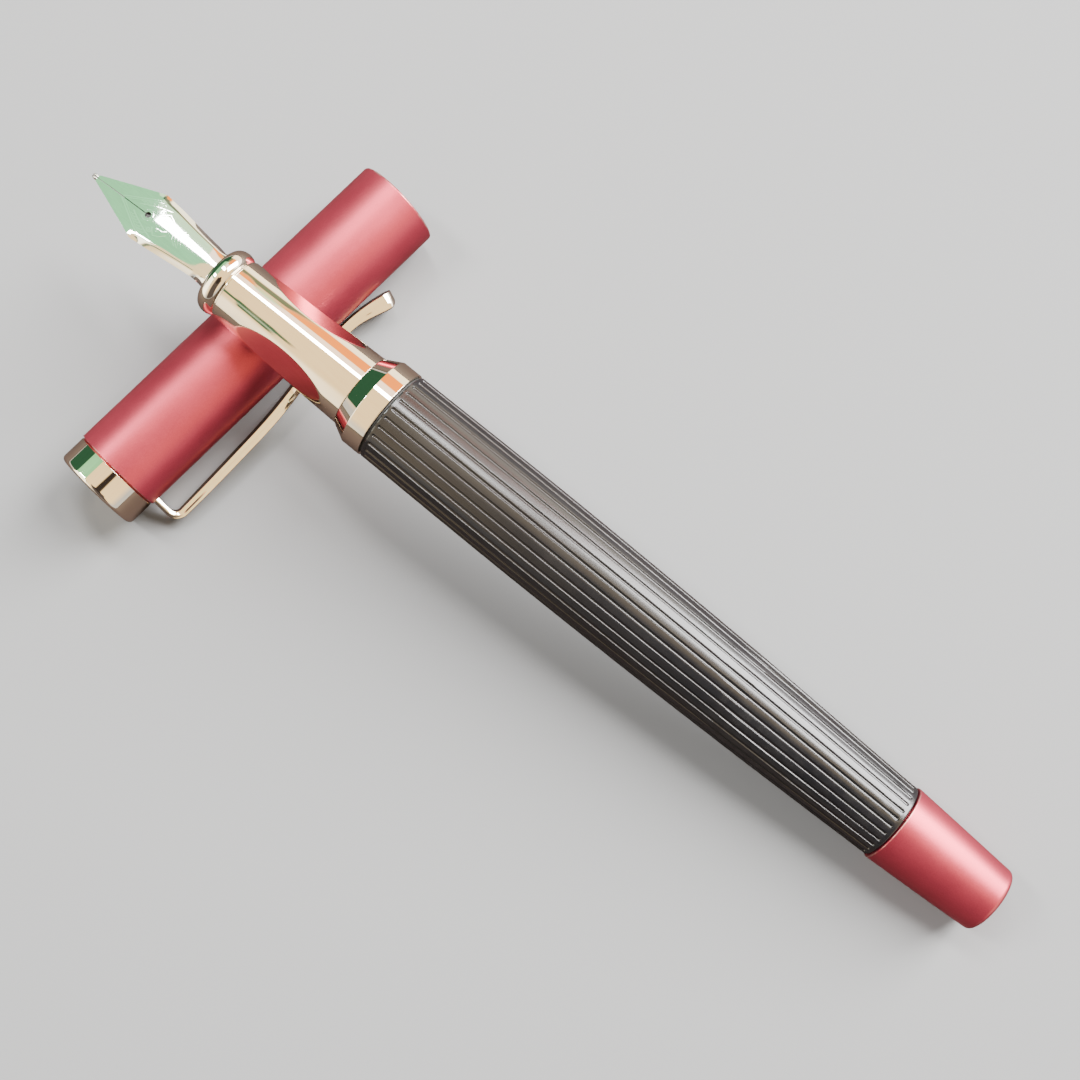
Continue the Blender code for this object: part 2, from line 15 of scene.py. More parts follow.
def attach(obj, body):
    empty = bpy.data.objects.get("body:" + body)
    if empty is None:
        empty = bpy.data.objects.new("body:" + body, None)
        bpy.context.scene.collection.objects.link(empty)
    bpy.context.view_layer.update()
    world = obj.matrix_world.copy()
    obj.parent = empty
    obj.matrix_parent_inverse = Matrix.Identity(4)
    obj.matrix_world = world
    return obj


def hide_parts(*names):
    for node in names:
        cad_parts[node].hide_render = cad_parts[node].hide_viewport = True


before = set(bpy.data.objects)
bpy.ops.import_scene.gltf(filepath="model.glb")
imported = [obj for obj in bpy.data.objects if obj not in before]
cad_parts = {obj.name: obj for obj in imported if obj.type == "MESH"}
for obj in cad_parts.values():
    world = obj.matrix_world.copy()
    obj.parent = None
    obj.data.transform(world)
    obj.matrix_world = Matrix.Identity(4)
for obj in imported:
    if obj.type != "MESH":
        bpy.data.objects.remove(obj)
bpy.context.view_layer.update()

MM = 0.001
TURN = 2 * math.pi

# Where the cap and the pen lie: origin, Z axis (along the piece) and X axis (across it)
CAP_PLACE = ((-43.033, 25.9, 5.7784), (0.0, -1.0, 0.0), (0.87631, 0.0, -0.48175))
PEN_PLACE = ((-66.3912, 0.6509, 18.3234), (0.98975, 0.0953, -0.10633), (-0.09585, 0.9954, 0.0))
NIB_ROLL = math.radians(5.5)

# Cap
CAP_RADIUS = 5.8
CAP_BORE = 5.25
CAP_LENGTH = 48.1

# Clip: an arm stands out from the cap, bends, and runs towards the mouth to a rounded nose
CLIP_ARM = 47.5
CLIP_ROOT = 5.42
CLIP_ROOT_THICK = 0.85
CLIP_REACH = 8.66
CLIP_BEND = 0.9
CLIP_NOSE = 9.7
CLIP_TIP = 8.25

# Pen, and the thread that holds its barrel
GRIP_REAR = 40.9
RING_REAR = 45.33
BARREL_FRONT = 45.62
BARREL_REAR = 119.7
END_CAP_FRONT = 119.85
PEN_LENGTH = 134.0
BARREL_PITCH = 1.1
BUSH_BORE = 4.3
BUSH_REAR = 55.8

# Grip: the bead at its front, its rear end, the threaded spigot, and two finger hollows that lean off the top
BEAD_MIDDLE = (3.46, 20.32)
BEAD_HALF_HEIGHT = 0.88
BEAD_HALF_LENGTH = 1.22
GRIP_REAR_RADIUS = 4.76
GRIP_SOCKET = 4.02
SPIGOT_RADIUS = 4.18
SPIGOT_REAR = 52.0
HOLLOW_MIDDLE = 30.3
HOLLOW_FLOOR = 3.87
HOLLOW_SWEEP = 40.0
HOLLOW_EDGE = 0.012
HOLLOW_LEAN = math.radians(62.0)
HOLLOW_TURNS = (TURN / 4 - HOLLOW_LEAN, TURN / 4 + HOLLOW_LEAN)

# Nib
NIB_TAIL = 27.0
NIB_SHOULDER = 8.7
NIB_HALF_WIDTH = 3.4
NIB_THICKNESS = 0.3
BREATHER = 8.5
BREATHER_RADIUS = 0.39
SLIT = 0.07
ENGRAVING_DEPTH = 0.006
TIP_RADIUS = 0.30
TIP_HALF_LENGTH = 0.46
TIP_GAP = 0.035

# Feed and housing under the nib; from NIB_TUCK back the nib is kept inside the housing
FEED_FRONT = 4.6
FEED_RADIUS = 1.95
FINS_REAR = 18.6
NIB_TUCK = 19.0
NIB_CLEARANCE = 0.08
HOUSING_FRONT = 19.5
HOUSING_REAR = 29.9
HOUSING_RADIUS = 2.92
HOUSING_BORE = 2.52

# Flutes of the barrel
FLUTES = 28
FLUTE_HALF = 0.2
FLUTE_DEPTH = 0.17
FLUTE_FRONT = 46.05
FLUTE_REAR = 119.2
FLUTE_LIP = 0.015

# Converter
COLLAR_RADIUS = 2.9
TUBE_RADIUS = 3.15
TUBE_BORE = 2.7
SLEEVE_RADIUS = 3.45
SEAL_RADIUS = 2.62
SEAL_GROOVE = 2.35
ROD_RADIUS = 1.08
ROD_END_RADIUS = 0.92
KNOB_RADIUS = 3.3

# Meshes: chords in a fillet, and how near its ends a run longer than LONG_RUN gets extra points
FILLET_CHORDS = 8
LONG_RUN = 0.3
HOLD = 0.06

# Edge wear, with a painted edge highlight, starts where a surface turns outward by EDGE_BEND radians a
# millimetre, and is full EDGE_RANGE above
EDGE_BEND = 1.2
EDGE_RANGE = 3.0


# ---------------------------------------------------------------- frames and meshes


def placed(place, roll=0.0):
    """A part's frame as a matrix, from its origin in millimetres, its Z axis and its X axis."""
    origin, along, across = (Vector(v) for v in place)
    along.normalize()
    up = along.cross(across).normalized()
    turn = Matrix((up.cross(along), up, along)).transposed().to_4x4()
    return Matrix.Translation(origin * MM) @ turn @ Matrix.Rotation(roll, 4, "Z")


CAP = placed(CAP_PLACE)
PEN = placed(PEN_PLACE)
NIB = placed(PEN_PLACE, -NIB_ROLL)


def convex_edges(mesh):
    """For each vertex, how sharply the surface turns outward there: 0 on flats, 1 on edges."""
    count = len(mesh.vertices)
    places = np.empty(count * 3)
    mesh.vertices.foreach_get("co", places)
    places = places.reshape(-1, 3) / MM
    normals = np.empty(count * 3)
    mesh.vertices.foreach_get("normal", normals)
    normals = normals.reshape(-1, 3)
    edges = np.empty(len(mesh.edges) * 2, int)
    mesh.edges.foreach_get("vertices", edges)
    edges = edges.reshape(-1, 2)
    step = places[edges[:, 1]] - places[edges[:, 0]]
    bend = np.einsum("ij,ij->i", normals[edges[:, 1]] - normals[edges[:, 0]], step)
    bend /= np.maximum(np.einsum("ij,ij->i", step, step), 1e-6)
    sharp = np.clip((bend - EDGE_BEND) / EDGE_RANGE, 0.0, 1.0)
    result = np.zeros(count)
    np.maximum.at(result, edges[:, 0], sharp)
    np.maximum.at(result, edges[:, 1], sharp)
    return result


def add_values(mesh, name, values):
    attribute = mesh.attributes.new(name, "FLOAT", "POINT")
    attribute.data.foreach_set("value", np.asarray(values, np.float32))


def piece(name, points, faces, matrix, body, finish, nodes, marks=None, crease=32, cutters=()):
    """One shown piece: built in its part's own frame, riding on a body and standing for CAD nodes."""
    mesh = bpy.data.meshes.new(name)
    mesh.from_pydata((np.asarray(points) * MM).tolist(), [], faces)
    mesh.transform(matrix)
    shape = bmesh.new()
    shape.from_mesh(mesh)
    bmesh.ops.recalc_face_normals(shape, faces=shape.faces)
    shape.to_mesh(mesh)
    shape.free()
    mesh.shade_smooth()
    if marks is not None:
        add_values(mesh, "mark", marks)
    item = bpy.data.objects.new(name, mesh)
    bpy.context.scene.collection.objects.link(item)
    for cutter in cutters:
        subtract(item, cutter, matrix)
    item.data.set_sharp_from_angle(angle=math.radians(crease))
    # Convex edges: where edge wear and a painted edge highlight lighten the finish
    add_values(item.data, "edge_wear_and_highlight", convex_edges(item.data))
    add_place(item.data, matrix)
    item.data.materials.clear()
    item.data.materials.append(FINISHES[finish])
    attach(item, body)
    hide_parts(*nodes)
    return item


def subtract(item, shape, matrix):
    """Subtract a closed shape, given in a part's frame, from a piece for good."""
    mesh = bpy.data.meshes.new("cutter")
    shape.to_mesh(mesh)
    shape.free()
    cutter = bpy.data.objects.new("cutter", mesh)
    bpy.context.scene.collection.objects.link(cutter)
    cutter.matrix_world = matrix @ Matrix.Scale(MM, 4)
    modifier = item.modifiers.new("cut", "BOOLEAN")
    modifier.object = cutter
    modifier.solver = "EXACT"
    bpy.context.view_layer.update()
    solid = item.evaluated_get(bpy.context.evaluated_depsgraph_get())
    changed = bpy.data.meshes.new_from_object(solid)
    item.modifiers.remove(modifier)
    item.data = changed
    bpy.data.objects.remove(cutter)


def add_place(mesh, matrix):
    """Keep each vertex's place in its part's own frame, in millimetres, for the finishes to read."""
    back = matrix.inverted()
    places = [component / MM for vertex in mesh.vertices for component in back @ vertex.co]
    mesh.attributes.new("place", "FLOAT_VECTOR", "POINT").data.foreach_set("vector", places)


def rounded(outline, closed):
    """Outline corners (radius, height, fillet) become arcs; long runs get a point near each end."""
    corners = []
    count = len(outline)
    for index, corner in enumerate(outline):
        here = Vector(corner[:2])
        if len(corner) < 3 or corner[2] == 0:
            corners.append([here])
            continue
        to_before = (Vector(outline[index - 1][:2]) - here).normalized()
        to_after = (Vector(outline[(index + 1) % count][:2]) - here).normalized()
        half = to_before.angle(to_after) / 2
        centre = here + (to_before + to_after).normalized() * corner[2] / math.sin(half)
        start = here + to_before * corner[2] / math.tan(half) - centre
        end = here + to_after * corner[2] / math.tan(half) - centre
        sweep = start.angle_signed(end)
        corners.append([centre + Matrix.Rotation(-sweep * k / FILLET_CHORDS, 2) @ start
                        for k in range(FILLET_CHORDS + 1)])
    points = []
    for index, arc in enumerate(corners):
        points += arc
        if index == count - 1 and not closed:
            break
        start, end = arc[-1], corners[(index + 1) % count][0]
        run = (end - start).length
        if run > LONG_RUN:
            near = min(HOLD, run / 4)
            points.append(start.lerp(end, near / run))
            points.append(end.lerp(start, near / run))
    return [(p.x, p.y) for p in points]


def lathe(outline, closed=True, steps=128, shape=None, angles=None):
    """Points and faces of an outline turned about Z. shape(angle, radius, height) may change radii."""
    profile = rounded(outline, closed)
    if angles is None:
        angles = np.arange(steps) * TURN / steps
    points, loops = [], []
    for radius, height in profile:
        if radius < 1e-6:
            loops.append([len(points)])
            points.append((0.0, 0.0, height))
            continue
        radii = np.full(len(angles), radius)
        if shape is not None:
            radii = shape(angles, radii, height)
        loops.append(list(range(len(points), len(points) + len(angles))))
        heights = np.full(len(angles), height)
        points += list(zip(radii * np.cos(angles), radii * np.sin(angles), heights))
    faces = []
    for first, second in zip(loops, loops[1:] + (loops[:1] if closed else [])):
        faces += bridge(first, second)
    return points, faces


def bridge(first, second, wrap=True):
    """Faces between two rings of vertices, either of which may be a single point."""
    count = max(len(first), len(second))
    faces = []
    for index in range(count if wrap else count - 1):
        after = (index + 1) % count
        if len(first) == 1 and len(second) == 1:
            return []
        if len(first) == 1:
            faces.append((first[0], second[after], second[index]))
        elif len(second) == 1:
            faces.append((first[index], first[after], second[0]))
        else:
            faces.append((first[index], first[after], second[after], second[index]))
    return faces


def turned(name, outline, matrix, body, finish, nodes, closed=True, **options):
    """A shown piece turned about its part's Z axis."""
    points, faces = lathe(outline, closed, **options)
    return piece(name, points, faces, matrix, body, finish, nodes)


def loft(rings):
    """Points and faces through equal rings, closed at both ends."""
    count = len(rings[0])
    points = [tuple(p) for ring in rings for p in ring]
    loops = [list(range(k * count, (k + 1) * count)) for k in range(len(rings))]
    faces = []
    for first, second in zip(loops, loops[1:]):
        faces += bridge(first, second)
    return points, faces + [tuple(loops[0]), tuple(loops[-1])]


def smooth_step(value):
    """0 below 0 and 1 above 1, easing in and out between them."""
    value = np.clip(value, 0.0, 1.0)
    return value * value * (3.0 - 2.0 * value)


def through(value, knots):
    """A smooth curve through (place, size) knots: Catmull-Rom, flat beyond the ends."""
    if value <= knots[0][0]:
        return knots[0][1]
    for index in range(len(knots) - 1):
        start, end = knots[index], knots[index + 1]
        if value <= end[0]:
            before = knots[max(index - 1, 0)]
            after = knots[min(index + 2, len(knots) - 1)]
            width = end[0] - start[0]
            slope_start = (end[1] - before[1]) / (end[0] - before[0]) * width
            slope_end = (after[1] - start[1]) / (after[0] - start[0]) * width
            t = (value - start[0]) / width
            return ((2 * t**3 - 3 * t**2 + 1) * start[1] + (t**3 - 2 * t**2 + t) * slope_start
                    + (3 * t**2 - 2 * t**3) * end[1] + (t**3 - t**2) * slope_end)
    return knots[-1][1]


def span(start, end, pitch):
    """Evenly spaced values from start to end, about a pitch apart."""
    return np.linspace(start, end, max(2, int(round(abs(end - start) / pitch)) + 1))


def thread(start, end, pitch, depth):
    """A radius change for lathe(): a helical thread cut between two heights."""
    def shape(angles, radii, height):
        if not start < height < end:
            return radii
        fade = min(1.0, (height - start) / (pitch / 2), (end - height) / (pitch / 2))
        phase = (height / pitch - angles / TURN) % 1.0
        groove = 1.0 - smooth_step(np.abs(phase - 0.5) / 0.32 - 0.2)
        return radii - depth * fade * groove
    return shape


def outer_only(shape, least):
    """Apply a radius change only to an outline's outer points."""
    def limited(angles, radii, height):
        return shape(angles, radii, height) if radii[0] > least else radii
    return limited


# ---------------------------------------------------------------- finishes


def put(tree, kind, inputs=None, **settings):
    """Add a node. Inputs are numbers, or sockets to link from."""
    item = tree.nodes.new(kind)
    for key, value in settings.items():
        setattr(item, key, value)
    for key, value in (inputs or {}).items():
        if isinstance(value, bpy.types.NodeSocket):
            tree.links.new(value, item.inputs[key])
        else:
            item.inputs[key].default_value = value
    return item


def mix_colour(tree, factor, one, two):
    item = put(tree, "ShaderNodeMix", {0: factor, 6: one, 7: two}, data_type="RGBA")
    return item.outputs[2]


def between(tree, value, low, high, start=0.0, end=1.0):
    """Map value from start..end to low..high."""
    item = put(tree, "ShaderNodeMapRange", {"Value": value, "From Min": start, "From Max": end,
                                            "To Min": low, "To Max": high})
    return item.outputs[0]


def eased(tree, value, start, end):
    """0 at start and 1 at end, easing in and out between them."""
    item = put(tree, "ShaderNodeMapRange", {"Value": value, "From Min": start, "From Max": end},
               interpolation_type="SMOOTHSTEP")
    return item.outputs[0]


def times(tree, one, two):
    return put(tree, "ShaderNodeMath", {0: one, 1: two}, operation="MULTIPLY").outputs[0]


def colour(r, g, b):
    return (r, g, b, 1.0)


# Noise scales are in waves a millimetre; the bump's height is in metres
BLOTCHES = 0.11
WEAR_AND_HIGHLIGHT_PATCH_SCALE = 0.9
BUMP_HEIGHT = 0.00002
ENGRAVED_ROUGHNESS = 0.12


def finish(name, low, high, metallic, roughness, spread, grain, bump, stretch=(1, 1, 1), wear_and_highlight=None,
           wear_and_highlight_metallic=1.0, wear_and_highlight_roughness=0.25, wear_and_highlight_share=0.5, mark=None, **sockets):
    """A finish: two tones mixed by blotches and grain, uneven gloss, fine bump, and worn edges made lighter
    as a painted edge highlight.
    """
    made = bpy.data.materials.new(name)
    made.use_nodes = True
    tree = made.node_tree
    shader = tree.nodes["Principled BSDF"]
    place = put(tree, "ShaderNodeAttribute", attribute_name="place").outputs["Vector"]
    drawn = put(tree, "ShaderNodeMapping", {"Vector": place, "Scale": stretch}).outputs[0]
    large = put(tree, "ShaderNodeTexNoise", {"Vector": place, "Scale": BLOTCHES, "Detail": 3.0}).outputs[0]
    fine = put(tree, "ShaderNodeTexNoise", {"Vector": drawn, "Scale": grain, "Detail": 4.0,
                                            "Roughness": 0.6}).outputs[0]
    tone = put(tree, "ShaderNodeMath", {0: large, 1: fine}, operation="ADD").outputs[0]
    tint = mix_colour(tree, between(tree, tone, 0.0, 1.0, 0.7, 1.3), colour(*low), colour(*high))
    gloss = between(tree, tone, roughness - spread, roughness + spread, 0.75, 1.25)
    metal = metallic
    if wear_and_highlight is not None:
        # Convex edges in noise patches take a lighter colour: edge wear plus a painted edge highlight
        patchy = put(tree, "ShaderNodeTexNoise", {"Vector": place, "Scale": WEAR_AND_HIGHLIGHT_PATCH_SCALE, "Detail": 5.0}).outputs[0]
        edge = put(tree, "ShaderNodeAttribute", attribute_name="edge_wear_and_highlight").outputs["Fac"]
        wear_and_highlight_patches = between(tree, patchy, 0.0, wear_and_highlight_share, 0.42, 0.62)
        wear_and_highlight_mask = times(tree, edge, wear_and_highlight_patches)
        tint = mix_colour(tree, wear_and_highlight_mask, tint, colour(*wear_and_highlight))
        gloss = between(tree, wear_and_highlight_mask, gloss, wear_and_highlight_roughness)
        metal = between(tree, wear_and_highlight_mask, metallic, wear_and_highlight_metallic)
    if mark is not None:
        cut = put(tree, "ShaderNodeAttribute", attribute_name="mark").outputs["Fac"]
        tint = mix_colour(tree, cut, tint, colour(*mark))
        gloss = between(tree, cut, gloss, ENGRAVED_ROUGHNESS)
    relief = put(tree, "ShaderNodeBump", {"Height": fine, "Strength": bump, "Distance": BUMP_HEIGHT})
    tree.links.new(tint, shader.inputs["Base Color"])
    tree.links.new(gloss, shader.inputs["Roughness"])
    if isinstance(metal, bpy.types.NodeSocket):
        tree.links.new(metal, shader.inputs["Metallic"])
    else:
        shader.inputs["Metallic"].default_value = metal
    tree.links.new(relief.outputs[0], shader.inputs["Normal"])
    for key, value in sockets.items():
        shader.inputs[key.replace("_", " ")].default_value = value
    FINISHES[name] = made


FINISHES = {}
# The lighter edge colours given below are edge wear plus a painted edge highlight
finish("red_lacquer", (0.36, 0.038, 0.062), (0.46, 0.053, 0.082), 0.72, 0.37, 0.03, 7.0, 0.08,
       wear_and_highlight=(0.78, 0.62, 0.50), wear_and_highlight_share=0.35)
finish("black_lacquer", (0.008, 0.008, 0.009), (0.013, 0.0125, 0.013), 0.0, 0.24, 0.025, 6.0, 0.06,
       wear_and_highlight=(0.06, 0.055, 0.05), wear_and_highlight_metallic=0.3, wear_and_highlight_share=0.12, Specular_IOR_Level=0.55)
finish("polished_chrome", (0.82, 0.73, 0.58), (0.88, 0.80, 0.66), 1.0, 0.035, 0.015, 2.5, 0.03,
       stretch=(1, 1, 0.08), wear_and_highlight=(0.90, 0.86, 0.78), wear_and_highlight_roughness=0.12)
finish("nib_steel", (0.74, 0.74, 0.69), (0.84, 0.84, 0.79), 1.0, 0.06, 0.015, 3.0, 0.04,
       stretch=(1, 1, 0.1), wear_and_highlight=(0.9, 0.9, 0.86), wear_and_highlight_roughness=0.2, mark=(0.97, 0.97, 0.92))
finish("tipping_alloy", (0.50, 0.50, 0.48), (0.72, 0.72, 0.70), 1.0, 0.24, 0.08, 9.0, 0.3,
       wear_and_highlight=(0.8, 0.8, 0.78))
finish("brass", (0.56, 0.36, 0.12), (0.72, 0.50, 0.20), 1.0, 0.26, 0.08, 2.5, 0.25,
       stretch=(0.1, 0.1, 3), wear_and_highlight=(0.86, 0.66, 0.34))
finish("black_plastic", (0.010, 0.010, 0.010), (0.022, 0.021, 0.020), 0.0, 0.42, 0.08, 5.0, 0.2,
       wear_and_highlight=(0.07, 0.07, 0.07), wear_and_highlight_metallic=0.0, wear_and_highlight_roughness=0.5)
finish("clear_plastic", (0.90, 0.94, 0.95), (0.97, 0.98, 0.98), 0.0, 0.06, 0.03, 2.5, 0.05,
       Transmission_Weight=1.0, IOR=1.49)
finish("black_rubber", (0.008, 0.008, 0.008), (0.020, 0.019, 0.018), 0.0, 0.68, 0.08, 4.0, 0.4,
       wear_and_highlight=(0.05, 0.05, 0.05), wear_and_highlight_metallic=0.0, wear_and_highlight_roughness=0.7)


# ---------------------------------------------------------------- cap


def rounded_box(centre, size, radius):
    place = Matrix.Translation(centre) @ Matrix.Diagonal((*size, 1.0))
    shape = bmesh.new()
    bmesh.ops.create_cube(shape, size=1.0, matrix=place)
    bmesh.ops.bevel(shape, geom=shape.edges, offset=radius, segments=4, profile=0.5, affect="EDGES")
    return shape


def build_cap_tube():
    """The cap's tube, open at both ends, with a notch in its closed end for the clip's arm."""
    points, faces = lathe([
        (CAP_RADIUS, 0.0, 0.22), (CAP_RADIUS, CAP_LENGTH, 0.06),
        (CAP_BORE, CAP_LENGTH), (CAP_BORE, 0.0, 0.18),
    ], steps=160)
    notch = rounded_box((5.5, 0.0, 48.0), (2.0, 2.5, 2.15), 0.12)
    piece("cap_tube_piece", points, faces, CAP, "cap", "red_lacquer", ["cap_tube"], cutters=[notch])


def build_cap_liner():
    turned("cap_liner_piece", [
        (5.15, 1.6, 0.15), (5.15, 46.7), (1.6, 46.7), (1.6, 44.0), (4.5, 44.0, 0.5), (4.5, 21.0, 0.3),
        (4.88, 20.0, 0.3), (4.88, 1.6, 0.15),
    ], CAP, "cap", "black_plastic", ["cap_liner"], steps=96)


def build_finial():
    turned("finial_piece", [
        (0.0, 51.72), (3.9, 51.72, 0.1), (4.05, 51.8, 0.05), (5.65, 51.8, 0.55), (5.65, 48.36, 0.04),
        (5.47, 48.14, 0.04), (2.45, 48.14), (2.45, 46.85), (1.45, 46.85), (1.45, 50.6), (0.0, 50.6),
    ], CAP, "cap", "polished_chrome", ["finial"], closed=False, steps=160)


def clip_line():
    """The clip's inner line: (distance from the cap's axis, d, half width, thickness)."""
    root_d = CLIP_ARM - CLIP_ROOT_THICK / 2
    root_width, bent_width = 1.0, 1.05
    bent_thick = CLIP_ROOT_THICK + 0.2
    line = [(reach, root_d, root_width, CLIP_ROOT_THICK)
            for reach in span(CLIP_ROOT, CLIP_REACH - CLIP_BEND, 0.3)]
    bend_steps = 14
    for step in range(1, bend_steps + 1):
        share = step / bend_steps
        turn = math.pi / 2 * share
        line.append((CLIP_REACH - CLIP_BEND * (1 - math.sin(turn)),
                     root_d - CLIP_BEND * (1 - math.cos(turn)),
                     root_width + (bent_width - root_width) * share,
                     CLIP_ROOT_THICK + (bent_thick - CLIP_ROOT_THICK) * share))
    bend_end = root_d - CLIP_BEND
    inner = [(CLIP_TIP, 7.1), (9.2, 6.86), (11.4, 6.42), (14.0, 6.14), (16.5, 6.14), (22.0, 6.72),
             (30.0, 7.82), (37.0, 8.26), (bend_end, CLIP_REACH)]
    width = [(9.3, 1.5), (11.0, 1.46), (14.0, 1.24), (24.0, 1.38), (34.0, 1.42), (42.0, 1.3),
             (bend_end, bent_width)]
    thick = [(8.6, 2.2), (10.5, 2.05), (15.0, 1.4), (30.0, 1.28), (42.0, 1.16), (bend_end, bent_thick)]
    nose = CLIP_NOSE - CLIP_TIP
    strip = list(span(bend_end - 0.3, CLIP_NOSE + 0.1, 0.35))
    strip += [CLIP_NOSE - nose * math.sin(a) for a in span(0.05, 1.5, 0.07)]
    for d in strip:
        shrink = math.sqrt(max(1.0 - max(0.0, (CLIP_NOSE - d) / nose) ** 2, 0.005))
        thickness = through(d, thick) * (0.5 + 0.5 * shrink)
        line.append((through(d, inner), d, through(d, width) * shrink, thickness))
    return line


def build_clip():
    """A strip with a crowned outer face, flat sides and bevelled inner edges."""
    line = clip_line()
    # Half the section, from the inner face round to the crown, as shares of half width and thickness
    half = [(0.0, 0.0), (0.4, 0.0), (0.80, 0.0), (0.86, 0.03), (0.97, 0.36), (1.0, 0.42), (1.0, 0.80),
            (0.985, 0.87), (0.9, 0.93), (0.6, 0.97), (0.3, 0.99), (0.0, 1.0)]
    section = half + [(-side, rise) for side, rise in half[-2:0:-1]]
    rings = []
    for index, (reach, d, half_width, thick) in enumerate(line):
        before = line[max(index - 1, 0)]
        after = line[min(index + 1, len(line) - 1)]
        along = Vector((after[0] - before[0], 0.0, after[1] - before[1])).normalized()
        outward = along.cross(Vector((0.0, 1.0, 0.0)))
        rings.append([Vector((reach, side * half_width, d)) + outward * rise * thick
                      for side, rise in section])
    points, faces = loft(rings)
    piece("clip_piece", points, faces, CAP, "clip", "polished_chrome", ["clip"], crease=24)


# ---------------------------------------------------------------- nib


def nib_half_width(s):
    """Half the nib's width: a long point, rounded shoulders, then a waisted shank."""
    point = 0.27 + (NIB_HALF_WIDTH - 0.17) * s / NIB_SHOULDER
    shank = through(s, [(NIB_SHOULDER, NIB_HALF_WIDTH), (11.0, 3.2), (13.5, 2.9), (17.0, 2.52), (19.5, 2.4)])
    blend = float(smooth_step((s - NIB_SHOULDER + 0.8) / 1.6))
    return min(point, NIB_HALF_WIDTH + 0.05) * (1 - blend) + shank * blend


def nib_ridge(s):
    """Height of the nib's middle above the pen's axis."""
    return through(s, [(0.0, 0.25), (4.0, 1.05), (NIB_SHOULDER, 1.82), (14.0, 2.2), (18.5, 2.42),
                       (NIB_TAIL, 2.42)])


def nib_section(s, count):
    """The nib's section as (x, y, slope) points from left to right: a crowned top with folded sides.

    Along the nib the sides fold down at the shoulders, then wrap round the feed, and draw into a
    barrel where the nib enters its housing. Angles are in degrees until the slope is made.
    """
    share = np.linspace(-1.0, 1.0, count)
    fold = float(smooth_step((s - 7.2) / 2.6))
    wrap = float(smooth_step((s - 9.0) / 10.0))
    barrel = float(smooth_step((s - 17.0) / 2.5))
    crown = 8.0 + 3.0 * fold + 8.0 * wrap + 22.0 * barrel
    start = 0.64 - 0.08 * wrap - 0.16 * barrel
    side = (18.0 + 14.0 * wrap + 34.0 * barrel) * fold
    folded = smooth_step((np.abs(share) - start) / (1.0 - start) * 1.6)
    slope = np.radians(crown * share + np.sign(share) * side * folded)
    middle = (slope[1:] + slope[:-1]) / 2
    x = np.concatenate([[0.0], np.cumsum(np.cos(middle))])
    y = np.concatenate([[0.0], np.cumsum(-np.sin(middle))])
    x -= (x[0] + x[-1]) / 2
    scale = nib_half_width(s) / x[-1]
    y -= y[count // 2]
    x, y = x * scale, nib_ridge(s) + y * scale
    if s > NIB_TUCK:
        inside = np.minimum(1.0, (HOUSING_BORE - NIB_CLEARANCE) / np.hypot(x, y))
        x, y = x * inside, y * inside
    return x, y, slope


def stroke_points(points, pitch=0.02):
    """A polyline through points as a dense cloud of points."""
    dense = []
    for one, two in zip(points, points[1:]):
        one, two = np.array(one), np.array(two)
        steps = max(2, int(np.linalg.norm(two - one) / pitch))
        dense += [one + (two - one) * k / steps for k in range(steps + 1)]
    return dense


def scroll(centre, radius, start, turns, tail):
    """A spiral that opens from its centre, drawn as points (x, s)."""
    points = []
    for t in np.linspace(0.0, 1.0, 40):
        angle = start + TURN * turns * t
        reach = radius * (0.15 + 0.85 * t)
        points.append((centre[0] + reach * math.cos(angle), centre[1] + reach * math.sin(angle)))
    return points + tail


def engraving():
    """Strokes engraved on the right half of the nib, as (line of (x, s) points, half width)."""
    ring_radius = 0.72
    strokes = [
        ([(0.16, 4.45), (1.10, 6.15), (2.05, 7.85), (2.62, 9.10)], 0.050),
        ([(0.16, 4.95), (1.02, 6.50), (1.90, 8.10), (2.42, 9.30)], 0.030),
        ([(0.55, 6.75), (1.05, 7.75), (1.60, 9.10), (2.05, 10.50)], 0.050),
    ]
    for k in range(7):
        t = k / 6
        outer = (0.95 + 1.25 * t, 6.62 + 2.30 * t)
        inner = (0.82 + 0.98 * t, 7.15 + 2.55 * t)
        bow = ((outer[0] + inner[0]) / 2 + 0.12, (outer[1] + inner[1]) / 2 + 0.12)
        strokes.append(([outer, bow, inner], 0.032))
    ring = [(ring_radius * math.cos(a), BREATHER + ring_radius * math.sin(a)) for a in span(-0.9, 1.35, 0.08)]
    strokes.append((ring, 0.035))
    strokes.append((scroll((1.28, 9.75), 0.42, 0.4, 1.4, [(1.62, 10.6), (1.3, 11.3), (0.7, 11.9)]), 0.036))
    strokes.append((scroll((0.82, 10.6), 0.26, 2.2, 1.25, [(0.55, 11.2), (0.2, 11.6)]), 0.032))
    for k in range(4):
        reach = 12.5 + 0.42 * k
        fan = [(0.35 * j, reach + 0.10 * j * j) for j in range(4 - k // 2)]
        strokes.append((fan, 0.030))
    return strokes


def engraved_depth(x, s):
    """How strongly each point (x, s) of the nib is engraved, from 0 to 1."""
    result = np.zeros(len(x))
    for line, half in engraving():
        dense = stroke_points(line)
        tree = KDTree(len(dense))
        for index, point in enumerate(dense):
            tree.insert((point[0], point[1], 0.0), index)
        tree.balance()
        low, high = np.min(dense, axis=0) - 2 * half, np.max(dense, axis=0) + 2 * half
        inside = (np.abs(x) > low[0]) & (np.abs(x) < high[0]) & (s > low[1]) & (s < high[1])
        for index in np.nonzero(inside)[0]:
            gap = tree.find((abs(x[index]), s[index], 0.0))[2]
            result[index] = max(result[index], 1.0 - float(smooth_step(gap / half - 0.35)))
    return result


